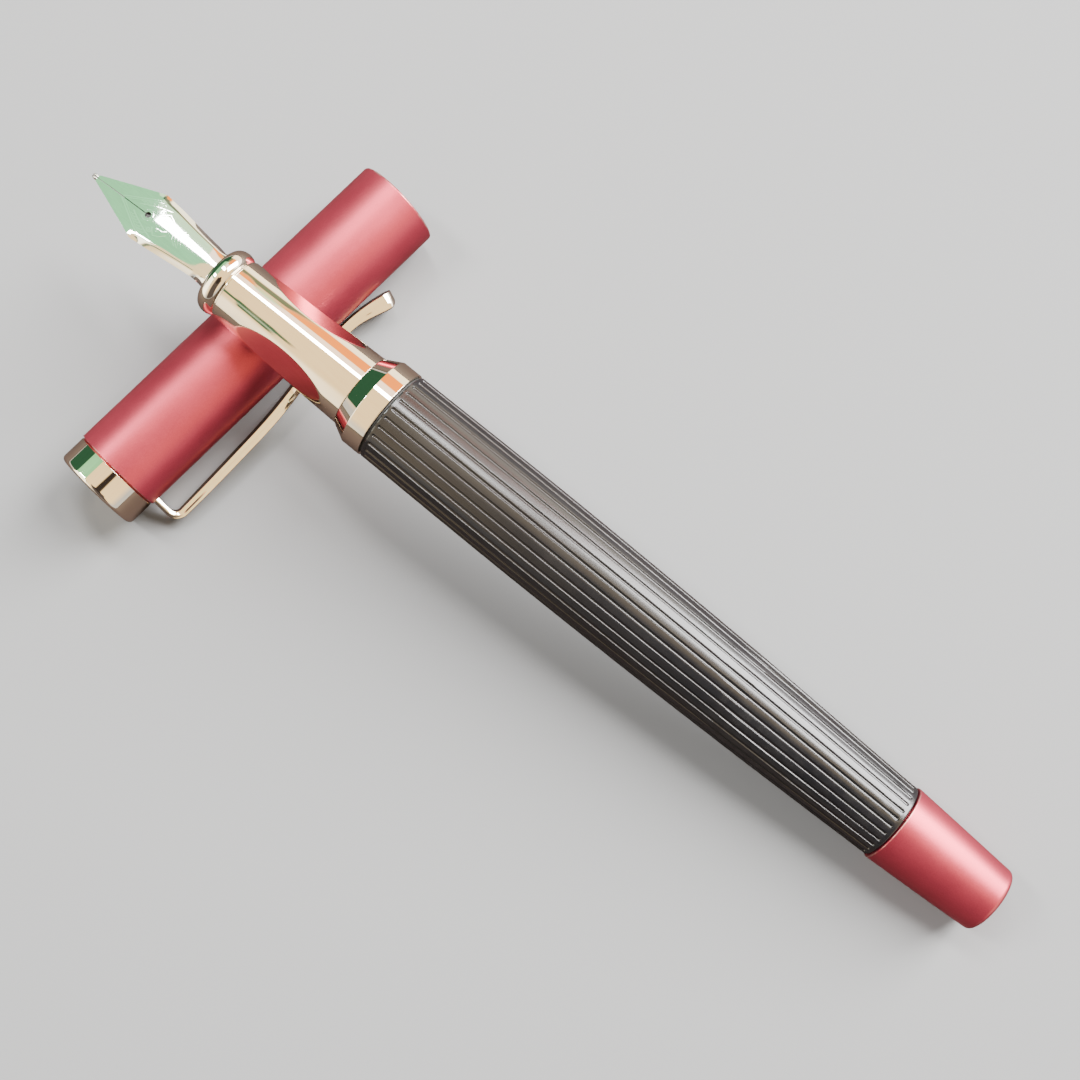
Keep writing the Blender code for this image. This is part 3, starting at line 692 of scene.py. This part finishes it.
def nib_surface():
    """Points, faces and engraving marks of the nib's sheet: a fine top over a coarser underside."""
    across = 133
    under = 21
    places = np.concatenate([span(0.4, 4.2, 0.2), span(4.25, 14.2, 0.05), span(14.35, 19.6, 0.15),
                             [21.0, 24.0, NIB_TAIL]])
    top, low = [], []
    for s in places:
        x, y, slope = nib_section(s, across)
        top.append(np.column_stack([x, y, np.full(across, s)]))
        thick = NIB_THICKNESS * (0.75 + 0.25 * float(smooth_step(s / 6.0)))
        x, y, slope = nib_section(s, under)
        low.append(np.column_stack([x - thick * np.sin(slope), y - thick * np.cos(slope), np.full(under, s)]))
    rows = len(places)
    top, low = np.concatenate(top), np.concatenate(low)
    marks = engraved_depth(top[:, 0], top[:, 2])
    top[:, 1] -= ENGRAVING_DEPTH * marks
    upper = [list(range(k * across, (k + 1) * across)) for k in range(rows)]
    base = rows * across
    lower = [list(range(base + k * under, base + (k + 1) * under)) for k in range(rows)]
    faces = []
    for k in range(rows - 1):
        faces += bridge(upper[k], upper[k + 1], wrap=False)
        faces += bridge(lower[k], lower[k + 1], wrap=False)
        for end in (0, -1):
            faces.append((upper[k][end], upper[k + 1][end], lower[k + 1][end], lower[k][end]))
    for k in (0, rows - 1):
        faces.append(tuple(upper[k] + lower[k][::-1]))
    return np.concatenate([top, low]), faces, np.concatenate([marks, np.zeros(len(low))])


def nib_slit():
    """The slit to cut from the point to the breather hole: it narrows towards the point."""
    slit = bmesh.new()
    for side in (-1, 1):
        for s, half in ((-1.0, 0.45 * SLIT), (BREATHER, SLIT)):
            for y in (-2.0, 4.0):
                slit.verts.new((side * half, y, s))
    bmesh.ops.convex_hull(slit, input=slit.verts)
    return slit


def nib_breather():
    """The round hole to cut at the end of the slit."""
    place = Matrix.Translation((0.0, 1.0, BREATHER)) @ Matrix.Rotation(TURN / 4, 4, "X")
    hole = bmesh.new()
    bmesh.ops.create_cone(hole, cap_ends=True, segments=48, radius1=BREATHER_RADIUS,
                          radius2=BREATHER_RADIUS, depth=6.0, matrix=place)
    return hole


def build_nib():
    points, faces, marks = nib_surface()
    piece("nib_piece", points, faces, NIB, "nib_unit", "nib_steel", ["nib"], marks,
          cutters=[nib_slit(), nib_breather()])


def build_tip(side, name):
    """One half of the hard tip: a rounded bead, flat where it meets the other half."""
    middle_y = nib_ridge(0.0) - 0.16
    middle_s = 0.06
    rings = []
    for t in span(-0.98, 0.98, 0.14):
        reach = TIP_RADIUS * math.sqrt(1.0 - t * t)
        ring = []
        for angle in np.arange(24) * TURN / 24:
            x = TIP_GAP + reach / 2 * (1.0 + math.cos(angle))
            ring.append((side * x, middle_y + reach * math.sin(angle), middle_s + TIP_HALF_LENGTH * t))
        rings.append(ring)
    points, faces = loft(rings)
    node = "nib_tip_" + name
    piece(node + "_piece", points, faces, NIB, "nib_unit", "tipping_alloy", [node])


def feed_sections():
    """Where the feed's sections are, as (s, 1 in a fin's gap and 0 on a fin)."""
    fins, first_gap, pitch, gap = 13, 9.6, 0.66, 0.30
    sections = [(s, 0.0) for s in (FEED_FRONT, 5.0, 6.0, 7.0, 8.0, 9.0, 9.5)]
    for k in range(fins):
        start = first_gap + pitch * k
        sections += [(start, 0.0), (start + 0.02, 1.0), (start + gap, 1.0), (start + gap + 0.02, 0.0)]
    return sections + [(FINS_REAR, 0.0), (29.0, 0.0)]


def build_feed():
    """The feed under the nib: a tapering half-round with fins below and a channel along its underside."""
    rings = []
    for s, gap in feed_sections():
        half = through(s, [(FEED_FRONT, 0.42), (9.0, 1.45), (15.0, 1.9), (FINS_REAR, FEED_RADIUS)])
        top = min(nib_ridge(s) - NIB_THICKNESS - NIB_CLEARANCE, FEED_RADIUS)
        low = through(s, [(FEED_FRONT, top - 0.5), (9.0, -0.9), (13.0, -FEED_RADIUS),
                          (FINS_REAR, -FEED_RADIUS)])
        middle = (top + low) / 2
        ring = []
        for angle in np.arange(56) * TURN / 56:
            x, y = math.sin(angle), math.cos(angle)
            reach = 1.0 - 0.36 * gap * float(smooth_step((0.35 - y) / 0.3))
            channel = 0.12 if y < -0.985 else 0.0
            height = middle + (top - middle) * y * (reach if y < 0 else 1.0) + channel
            ring.append((half * x * reach, height, s))
        rings.append(ring)
    points, faces = loft(rings)
    piece("feed_piece", points, faces, NIB, "nib_unit", "black_plastic", ["feed"])


def build_nib_housing():
    wall_front = 29.2
    outline = [(HOUSING_RADIUS, HOUSING_FRONT, 0.1), (HOUSING_RADIUS, 21.4)]
    outline += [(HOUSING_RADIUS, s) for s in span(21.5, 29.4, 0.07)]
    outline += [(HOUSING_RADIUS, HOUSING_REAR, 0.15), (0.9, HOUSING_REAR), (0.9, wall_front),
                (HOUSING_BORE, wall_front), (HOUSING_BORE, HOUSING_FRONT)]
    turned("nib_housing_piece", outline, NIB, "nib_unit", "black_plastic", ["nib_housing"], steps=72,
           shape=outer_only(thread(21.6, 29.2, 0.6, 0.16), 2.8))


# ---------------------------------------------------------------- grip


def grip_radius(s):
    """The grip behind its front bead: a waist, then a slow flare."""
    return through(s, [(21.9, 4.09), (24.5, 4.155), (30.0, 4.41), (35.0, 4.60),
                       (GRIP_REAR, GRIP_REAR_RADIUS)])


def hollow_floor(s):
    """A finger hollow's floor: its distance from the axis, straight across and curved along."""
    return HOLLOW_FLOOR + (s - HOLLOW_MIDDLE) ** 2 / (2 * HOLLOW_SWEEP)


def hollow_angles():
    """Angles round the grip, closer together where a hollow's edges run."""
    reach = 33.0
    near_hollow = np.radians(np.concatenate([span(-reach, -12.0, 0.7), span(-11.0, 11.0, 2.0),
                                             span(12.0, reach, 0.7)]))
    angles = [middle + turn for middle in HOLLOW_TURNS for turn in near_hollow]
    for angle in np.arange(0.0, TURN, TURN / 120):
        if all(abs(angle - middle) > math.radians(reach + 1.0) for middle in HOLLOW_TURNS):
            angles.append(angle)
    return np.array(sorted(angle % TURN for angle in angles))


def finger_hollows(angles, radii, s):
    """Flatten the grip's outside at the two finger hollows, with a small rounding at their edges."""
    if radii[0] < 3.9 or not 24.0 < s < 39.5 or abs(radii[0] - grip_radius(s)) > 0.01:
        return radii
    for middle in HOLLOW_TURNS:
        turn = (angles - middle + TURN / 2) % TURN - TURN / 2
        flat = hollow_floor(s) / np.maximum(np.cos(turn), 0.3)
        radii = radii - HOLLOW_EDGE * np.log1p(np.exp((radii - flat) / HOLLOW_EDGE))
    return radii


def build_grip_sleeve():
    """The grip's metal outside: a bead, a groove, then the flare with its two finger hollows."""
    outline = [(3.04, 20.3), (3.04, 19.42, 0.12), (3.22, 19.12, 0.08)]
    for angle in span(math.pi / 2, -math.pi / 2 + 0.42, 0.09):
        outline.append((BEAD_MIDDLE[0] + BEAD_HALF_HEIGHT * math.cos(angle),
                        BEAD_MIDDLE[1] - BEAD_HALF_LENGTH * math.sin(angle)))
    outline += [(4.0, 21.62, 0.05), (4.0, 21.76, 0.05)]
    outline += [(grip_radius(s), s) for s in span(21.86, GRIP_REAR - 0.15, 0.3)]
    outline += [(GRIP_REAR_RADIUS, GRIP_REAR, 0.05), (GRIP_SOCKET, GRIP_REAR), (GRIP_SOCKET, 37.5),
                (3.46, 37.5), (3.46, 20.3)]
    turned("grip_sleeve_piece", outline, PEN, "grip", "polished_chrome", ["grip_sleeve"],
           angles=hollow_angles(), shape=finger_hollows)


def build_grip_core():
    """The plastic inside of the grip: the nib's socket, the converter's, and the barrel's thread."""
    shoulder = GRIP_REAR + 0.08
    outline = [(3.38, 20.45), (3.38, 37.65), (3.94, 37.65), (3.94, shoulder), (SPIGOT_RADIUS, shoulder),
               (SPIGOT_RADIUS, 46.2)]
    outline += [(SPIGOT_RADIUS, s) for s in span(46.25, 51.6, 0.09)]
    outline += [(SPIGOT_RADIUS, SPIGOT_REAR, 0.2), (3.45, SPIGOT_REAR, 0.1), (3.45, 39.05), (3.0, 39.05),
                (3.0, 32.2), (1.05, 32.2), (1.05, 36.2, 0.1), (0.6, 36.8), (0.6, 30.6), (3.02, 30.6),
                (3.02, 20.45)]
    turned("grip_core_piece", outline, PEN, "grip", "black_plastic", ["grip_core"], steps=96,
           shape=outer_only(thread(46.3, 51.9, BARREL_PITCH, 0.22), 4.0))


def build_grip_rings():
    """The bright ring that flares out to the barrel, and the dark ring in the joint behind it."""
    bore, rim, front = 4.26, 5.86, GRIP_REAR + 0.08
    turned("trim_ring_piece", [
        (bore, front), (4.84, front, 0.04), (rim, 42.88, 0.14), (rim, RING_REAR, 0.08), (bore, RING_REAR),
    ], PEN, "grip", "polished_chrome", ["trim_ring"], steps=160)
    front, rear = RING_REAR + 0.03, BARREL_FRONT - 0.03
    turned("seal_ring_piece", [(5.5, front, 0.04), (5.5, rear, 0.04), (bore, rear), (bore, front)],
           PEN, "grip", "black_rubber", ["seal_ring"], steps=96)


# ---------------------------------------------------------------- barrel


def barrel_radius(s):
    """The barrel's slightly bellied line."""
    return through(s, [(BARREL_FRONT, 5.8), (66.0, 5.9), (85.0, 5.74), (100.0, 5.42), (BARREL_REAR, 4.79)])


def fluted(angles, radii, s):
    """Take the flutes off the barrel's outside: grooves with round ends."""
    if radii[0] < 4.78 or abs(radii[0] - barrel_radius(s)) > 0.02:
        return radii
    past = max(0.0, FLUTE_FRONT + FLUTE_HALF - s, s - FLUTE_REAR + FLUTE_HALF)
    turn = angles * FLUTES / TURN
    across = (turn - np.round(turn)) * TURN / FLUTES * radii
    gap = np.sqrt(across**2 + past**2) / FLUTE_HALF
    depth = FLUTE_DEPTH * np.clip(1.0 - gap**2, 0.0, 1.0) ** 0.5
    lip = FLUTE_LIP * np.clip(1.0 - np.abs(gap - 1.0) / 0.35, 0.0, 1.0) * (gap >= 1.0)
    return radii - depth - lip


def flute_angles():
    """Angles round the barrel, closer together at the edges of the flutes."""
    mean_radius = 5.6
    half = np.array([0.35, 0.7, 0.9, 1.0, 1.15, 1.5])
    share = np.concatenate([-half[::-1], [0.0], half]) * FLUTE_HALF
    return np.concatenate([k * TURN / FLUTES + share / mean_radius for k in range(FLUTES)])


def build_barrel_shell():
    """The barrel's tube, fluted outside, with closer sections where the flutes end."""
    places = np.concatenate([
        span(BARREL_FRONT + 0.12, FLUTE_FRONT - 0.08, 0.1),
        span(FLUTE_FRONT - 0.05, FLUTE_FRONT + 0.45, 0.04),
        span(47.0, 118.5, 1.1),
        span(FLUTE_REAR - 0.45, FLUTE_REAR + 0.05, 0.04),
        span(FLUTE_REAR + 0.1, BARREL_REAR - 0.1, 0.1),
    ])
    front = barrel_radius(BARREL_FRONT)
    outline = [(front - 0.16, BARREL_FRONT), (front - 0.05, BARREL_FRONT + 0.04)]
    outline += [(barrel_radius(s), s) for s in places]
    outline += [(4.74, BARREL_REAR - 0.02), (3.9, BARREL_REAR), (3.9, 113.0), (4.75, 98.0), (4.75, 56.2),
                (4.96, 56.1), (4.96, BARREL_FRONT)]
    turned("barrel_piece", outline, PEN, "barrel", "black_lacquer", ["barrel_shell"], angles=flute_angles(),
           shape=fluted)


def build_end_cap():
    turned("end_cap_piece", [
        (0.0, PEN_LENGTH), (4.12, PEN_LENGTH, 0.6), (4.55, 127.2), (4.98, END_CAP_FRONT, 0.12),
        (3.8, END_CAP_FRONT), (3.8, 115.2), (2.7, 115.2), (2.7, 130.5, 0.8), (0.0, 130.5),
    ], PEN, "barrel", "red_lacquer", ["end_cap"], closed=False, steps=160)


def inner_thread(angles, radii, height):
    """A thread inside the bush: grooves go outward."""
    if radii[0] > BUSH_BORE + 0.1:
        return radii
    return 2 * radii - thread(46.2, BUSH_REAR - 0.2, BARREL_PITCH, 0.2)(angles, radii, height)


def build_barrel_bush():
    """The brass bush inside the barrel's front, threaded for the grip."""
    front = BARREL_FRONT + 0.1
    outline = [(4.9, front, 0.05), (4.9, BUSH_REAR), (BUSH_BORE, BUSH_REAR)]
    outline += [(BUSH_BORE, s) for s in span(BUSH_REAR - 0.2, BARREL_FRONT + 0.5, 0.1)]
    outline += [(BUSH_BORE, front, 0.1)]
    turned("barrel_bush_piece", outline, PEN, "barrel_bush", "brass", ["barrel_bush"], steps=96,
           shape=inner_thread)


# ---------------------------------------------------------------- converter


def knurled(start, end, count, depth):
    """A radius change for lathe(): fine ribs along the knob between two heights."""
    def shape(angles, radii, height):
        fade = float(smooth_step((height - start) / 0.15) * smooth_step((end - height) / 0.15))
        if radii[0] < KNOB_RADIUS - 0.1 or fade == 0.0:
            return radii
        return radii - depth * fade * (0.5 + 0.5 * np.cos(angles * count))
    return shape


def build_converter_body():
    """The converter's still pieces: collar, clear tube, metal sleeve and the nut that guides the rod."""
    turned("converter_collar_piece", [
        (COLLAR_RADIUS, 33.2, 0.15), (COLLAR_RADIUS, 39.0, 0.05), (2.62, 39.0), (2.62, 41.0), (1.9, 41.0),
        (1.9, 37.4), (1.15, 37.4), (1.15, 33.2),
    ], PEN, "converter", "black_plastic", ["converter_collar"], steps=96)
    turned("converter_tube_piece", [
        (TUBE_RADIUS, 39.1, 0.05), (TUBE_RADIUS, 76.0), (TUBE_BORE, 76.0), (TUBE_BORE, 39.1, 0.05),
    ], PEN, "converter", "clear_plastic", ["converter_tube"], steps=96)
    turned("converter_sleeve_piece", [
        (SLEEVE_RADIUS, 70.0, 0.08), (SLEEVE_RADIUS, 71.0, 0.05), (3.38, 71.1, 0.03), (3.38, 71.5, 0.03),
        (SLEEVE_RADIUS, 71.6, 0.05), (SLEEVE_RADIUS, 88.0, 0.08), (2.75, 88.0), (2.75, 76.2), (3.22, 76.2),
        (3.22, 70.0),
    ], PEN, "converter", "polished_chrome", ["converter_sleeve"], steps=96)
    turned("converter_nut_piece", [(2.68, 76.4), (2.68, 86.5), (1.2, 86.5), (1.2, 76.4)],
           PEN, "converter", "black_plastic", ["converter_nut"], steps=64)


def build_piston():
    """The rubber seal, with its two lips, and the long-threaded rod that draws it."""
    turned("piston_seal_piece", [
        (0.0, 64.0), (SEAL_RADIUS, 64.0, 0.2), (SEAL_RADIUS, 65.4, 0.1), (SEAL_GROOVE, 65.8, 0.1),
        (SEAL_GROOVE, 67.2, 0.1), (SEAL_RADIUS, 67.6, 0.1), (SEAL_RADIUS, 69.0, 0.1), (1.0, 69.0),
        (1.0, 67.0), (0.0, 67.0),
    ], PEN, "piston", "black_rubber", ["piston_seal"], closed=False, steps=80)
    rod = [(0.0, 67.1), (ROD_END_RADIUS, 67.1), (ROD_END_RADIUS, 69.4)]
    rod += [(ROD_RADIUS, s) for s in span(69.5, 99.0, 0.16)]
    rod += [(ROD_END_RADIUS, 99.2, 0.1), (0.0, 99.2)]
    turned("piston_rod_piece", rod, PEN, "piston", "black_plastic", ["piston_rod"], closed=False, steps=32,
           shape=outer_only(thread(69.4, 99.1, 4.4, 0.24), 1.0))


def build_knob():
    """The knob that turns the rod: a knurled grip, a turned groove and a raised end."""
    outline = [(0.0, 100.9), (2.2, 100.9), (2.4, 101.0, 0.1), (2.9, 101.0, 0.4), (KNOB_RADIUS, 98.9, 0.1)]
    outline += [(KNOB_RADIUS, s) for s in span(98.7, 93.9, 0.08)]
    outline += [(KNOB_RADIUS, 93.6), (KNOB_RADIUS, 91.2, 0.03), (3.2, 91.1, 0.03), (3.2, 90.7, 0.03),
                (KNOB_RADIUS, 90.6, 0.03), (KNOB_RADIUS, 88.15, 0.1), (1.35, 88.15), (1.35, 100.0),
                (0.0, 100.0)]
    turned("converter_knob_piece", outline, PEN, "knob", "polished_chrome", ["converter_knob"], closed=False,
           steps=240, shape=knurled(94.0, 98.6, 48, 0.09))


# ---------------------------------------------------------------- stage


# The camera's lens and place in millimetres, and its turn as rows of a matrix
LENS = 51.522
CAMERA_PLACE = (31.877, -13.733, 186.834)
CAMERA_TURN = ((0.71181, -0.68119, 0.17123), (0.70109, 0.7038, -0.11461), (-0.04244, 0.20163, 0.97854))

# The floor's colour near the pen, far off and in mirrors, and the distances in metres between which it pales
FLOOR_NEAR = (0.29, 0.287, 0.280)
FLOOR_FAR = (0.95, 0.94, 0.92)
FLOOR_MIRRORED = (0.050, 0.034, 0.030)
FLOOR_PALING = (0.2, 1.3)
FLOOR_RADIUS = 8.0

# Soft boxes: place, size and power in metres and watts, and colour
LIGHTS = {
    "key": ((-0.185, 0.225, 0.6), (0.35, 0.10), 4.4, (0.98, 0.98, 1.0)),
    "side": ((-0.38, -0.14, 0.60), (0.24, 0.09), 3.6, (0.98, 0.98, 1.0)),
    "window": ((0.24, 0.747, 0.627), (0.5, 0.80), 46.0, (0.97, 0.98, 1.0)),
}

# The room: its plain colour, the ceiling's in mirrors, and how much of its light reaches dull surfaces
ROOM = (1.12, 1.10, 1.06)
CEILING = (2.3, 1.68, 0.88)
FILL = 0.36

# Panels that only mirrors see: lean from the zenith towards +Y in degrees, extent along X, softness of the
# edges in degrees, colour. A later panel covers an earlier one. The light, green, orange and dark bands on
# the polished pieces are these panels mirrored.
PANELS = [
    ((-88.0, -9.0), (0.03, 0.62), 3.0, (0.42, 0.35, 0.29)),
    ((-88.0, -9.0), (0.10, 0.70), 3.0, (0.15, 0.12, 0.11)),
    ((60.0, 92.0), (0.0, 0.70), 3.0, (4.5, 4.35, 4.3)),
    ((-62.0, 85.0), (-1.1, -0.42), 1.5, (0.045, 0.15, 0.08)),
    ((-88.0, -24.0), (-0.74, -0.255), 1.5, (5.2, 4.8, 3.8)),
    ((-92.0, -50.0), (-0.262, -0.11), 8.0, (3.3, 2.8, 2.0)),
    ((-24.0, 46.0), (-0.745, -0.30), 1.0, (0.56, 1.42, 0.70)),
    ((24.0, 47.0), (-0.50, -0.265), 0.8, (1.5, 2.2, 1.35)),
    ((25.0, 41.0), (-0.335, 0.0), 1.0, (3.6, 2.7, 2.1)),
    ((41.0, 70.0), (-0.352, 0.0), 2.0, (2.8, 0.78, 0.10)),
    ((50.0, 66.0), (-0.56, -0.352), 1.2, (0.36, 0.42, 0.24)),
    ((69.0, 93.0), (-0.60, 0.0), 2.0, (3.8, 3.3, 2.4)),
    ((-44.0, -26.0), (-0.243, -0.212), 1.2, (0.13, 0.27, 0.15)),
    ((-35.0, -28.0), (-0.243, -0.190), 0.8, (0.13, 0.27, 0.15)),
    ((-38.0, -34.0), (-0.243, -0.210), 0.8, (0.70, 0.95, 0.62)),
]
# Softness along X for each degree of it across
PANEL_SOFTNESS = 0.008

# Dark discs among the panels: direction, inner and outer radius in degrees, colour
DISCS = [
    ((0.38, -0.24, 0.89), 12, 14, (0.06, 0.045, 0.04)),
]


def build_camera():
    data = bpy.data.cameras.new("camera")
    data.sensor_width = 36.0
    data.lens = LENS
    data.clip_start = 0.01
    data.clip_end = 100.0
    camera = bpy.data.objects.new("camera", data)
    camera.matrix_world = Matrix.Translation(Vector(CAMERA_PLACE) * MM) @ Matrix(CAMERA_TURN).to_4x4()
    bpy.context.scene.collection.objects.link(camera)
    bpy.context.scene.camera = camera


def build_floor():
    """A pale floor, paler far from the pen, where the lights are weak. Mirrors see it dark."""
    shape = bmesh.new()
    bmesh.ops.create_circle(shape, cap_ends=True, segments=96, radius=FLOOR_RADIUS)
    mesh = bpy.data.meshes.new("floor")
    shape.to_mesh(mesh)
    shape.free()
    made = bpy.data.materials.new("floor")
    made.use_nodes = True
    tree = made.node_tree
    shader = tree.nodes["Principled BSDF"]
    place = put(tree, "ShaderNodeTexCoord").outputs["Object"]
    reach = put(tree, "ShaderNodeVectorMath", {0: place}, operation="LENGTH").outputs["Value"]
    seen = mix_colour(tree, eased(tree, reach, *FLOOR_PALING), colour(*FLOOR_NEAR), colour(*FLOOR_FAR))
    mirrored = put(tree, "ShaderNodeLightPath").outputs["Is Glossy Ray"]
    tree.links.new(mix_colour(tree, mirrored, seen, colour(*FLOOR_MIRRORED)), shader.inputs["Base Color"])
    shader.inputs["Roughness"].default_value = 0.8
    shader.inputs["Specular IOR Level"].default_value = 0.2
    mesh.materials.append(made)
    floor = bpy.data.objects.new("floor", mesh)
    bpy.context.scene.collection.objects.link(floor)


def build_light(name, place, size, power, tint):
    """A soft box aimed at the middle of the floor, with its first side along the scene's X axis."""
    data = bpy.data.lights.new(name, "AREA")
    data.shape = "RECTANGLE"
    data.size, data.size_y = size
    data.energy = power
    data.color = tint
    lamp = bpy.data.objects.new(name, data)
    back = Vector(place).normalized()
    side = (Vector((1, 0, 0)) - back * back.x).normalized()
    turn = Matrix((side, back.cross(side), back)).transposed().to_4x4()
    lamp.matrix_world = Matrix.Translation(place) @ turn
    bpy.context.scene.collection.objects.link(lamp)


def band(tree, value, low, high, soft):
    """1 where value lies between low and high, with soft edges."""
    rise = eased(tree, value, low - soft, low + soft)
    fall = eased(tree, value, high + soft, high - soft)
    return times(tree, rise, fall)


def build_world():
    """A plain pale room. Polished metal mirrors its warm ceiling and a few tinted panels there."""
    world = bpy.data.worlds.new("room")
    bpy.context.scene.world = world
    world.use_nodes = True
    tree = world.node_tree
    background = tree.nodes["Background"]
    look = put(tree, "ShaderNodeTexCoord").outputs["Generated"]
    x, y, z = put(tree, "ShaderNodeSeparateXYZ", {0: look}).outputs
    lean = put(tree, "ShaderNodeMath", {0: y, 1: z}, operation="ARCTAN2").outputs[0]
    lean = put(tree, "ShaderNodeMath", {0: lean}, operation="DEGREES").outputs[0]
    tint = mix_colour(tree, between(tree, z, 0.0, 1.0, 0.15, 0.4), colour(*ROOM), colour(*CEILING))
    for leans, sides, soft, panel in PANELS:
        share = times(tree, band(tree, lean, *leans, soft), band(tree, x, *sides, soft * PANEL_SOFTNESS))
        tint = mix_colour(tree, share, tint, colour(*panel))
    for direction, inner, outer, disc in DISCS:
        facing = put(tree, "ShaderNodeVectorMath", {0: look, 1: Vector(direction).normalized()},
                     operation="DOT_PRODUCT").outputs["Value"]
        share = eased(tree, facing, math.cos(math.radians(outer)), math.cos(math.radians(inner)))
        tint = mix_colour(tree, share, tint, colour(*disc))
    rays = put(tree, "ShaderNodeLightPath").outputs
    tint = mix_colour(tree, rays["Is Glossy Ray"], colour(*ROOM), tint)
    tree.links.new(tint, background.inputs["Color"])
    tree.links.new(between(tree, rays["Is Diffuse Ray"], 1.0, FILL), background.inputs["Strength"])


# ---------------------------------------------------------------- everything together


def finish_kept(node, slot, matrix):
    """Give a CAD piece that stays in the picture the finish of its slot."""
    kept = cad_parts[node]
    kept.data.materials.clear()
    kept.data.materials.append(FINISHES[slot])
    add_place(kept.data, matrix)


build_cap_tube()
build_cap_liner()
build_finial()
build_clip()
build_nib()
for tip_side, tip_name in ((-1, "left"), (1, "right")):
    build_tip(tip_side, tip_name)
build_feed()
build_nib_housing()
build_grip_sleeve()
build_grip_core()
build_grip_rings()
build_barrel_shell()
build_end_cap()
build_barrel_bush()
build_converter_body()
build_piston()
build_knob()
finish_kept("clip_ring", "polished_chrome", CAP)
finish_kept("finial_screw", "nib_steel", CAP)
finish_kept("tail_plug", "brass", PEN)
build_camera()
build_floor()
for light, settings in LIGHTS.items():
    build_light(light, *settings)
build_world()
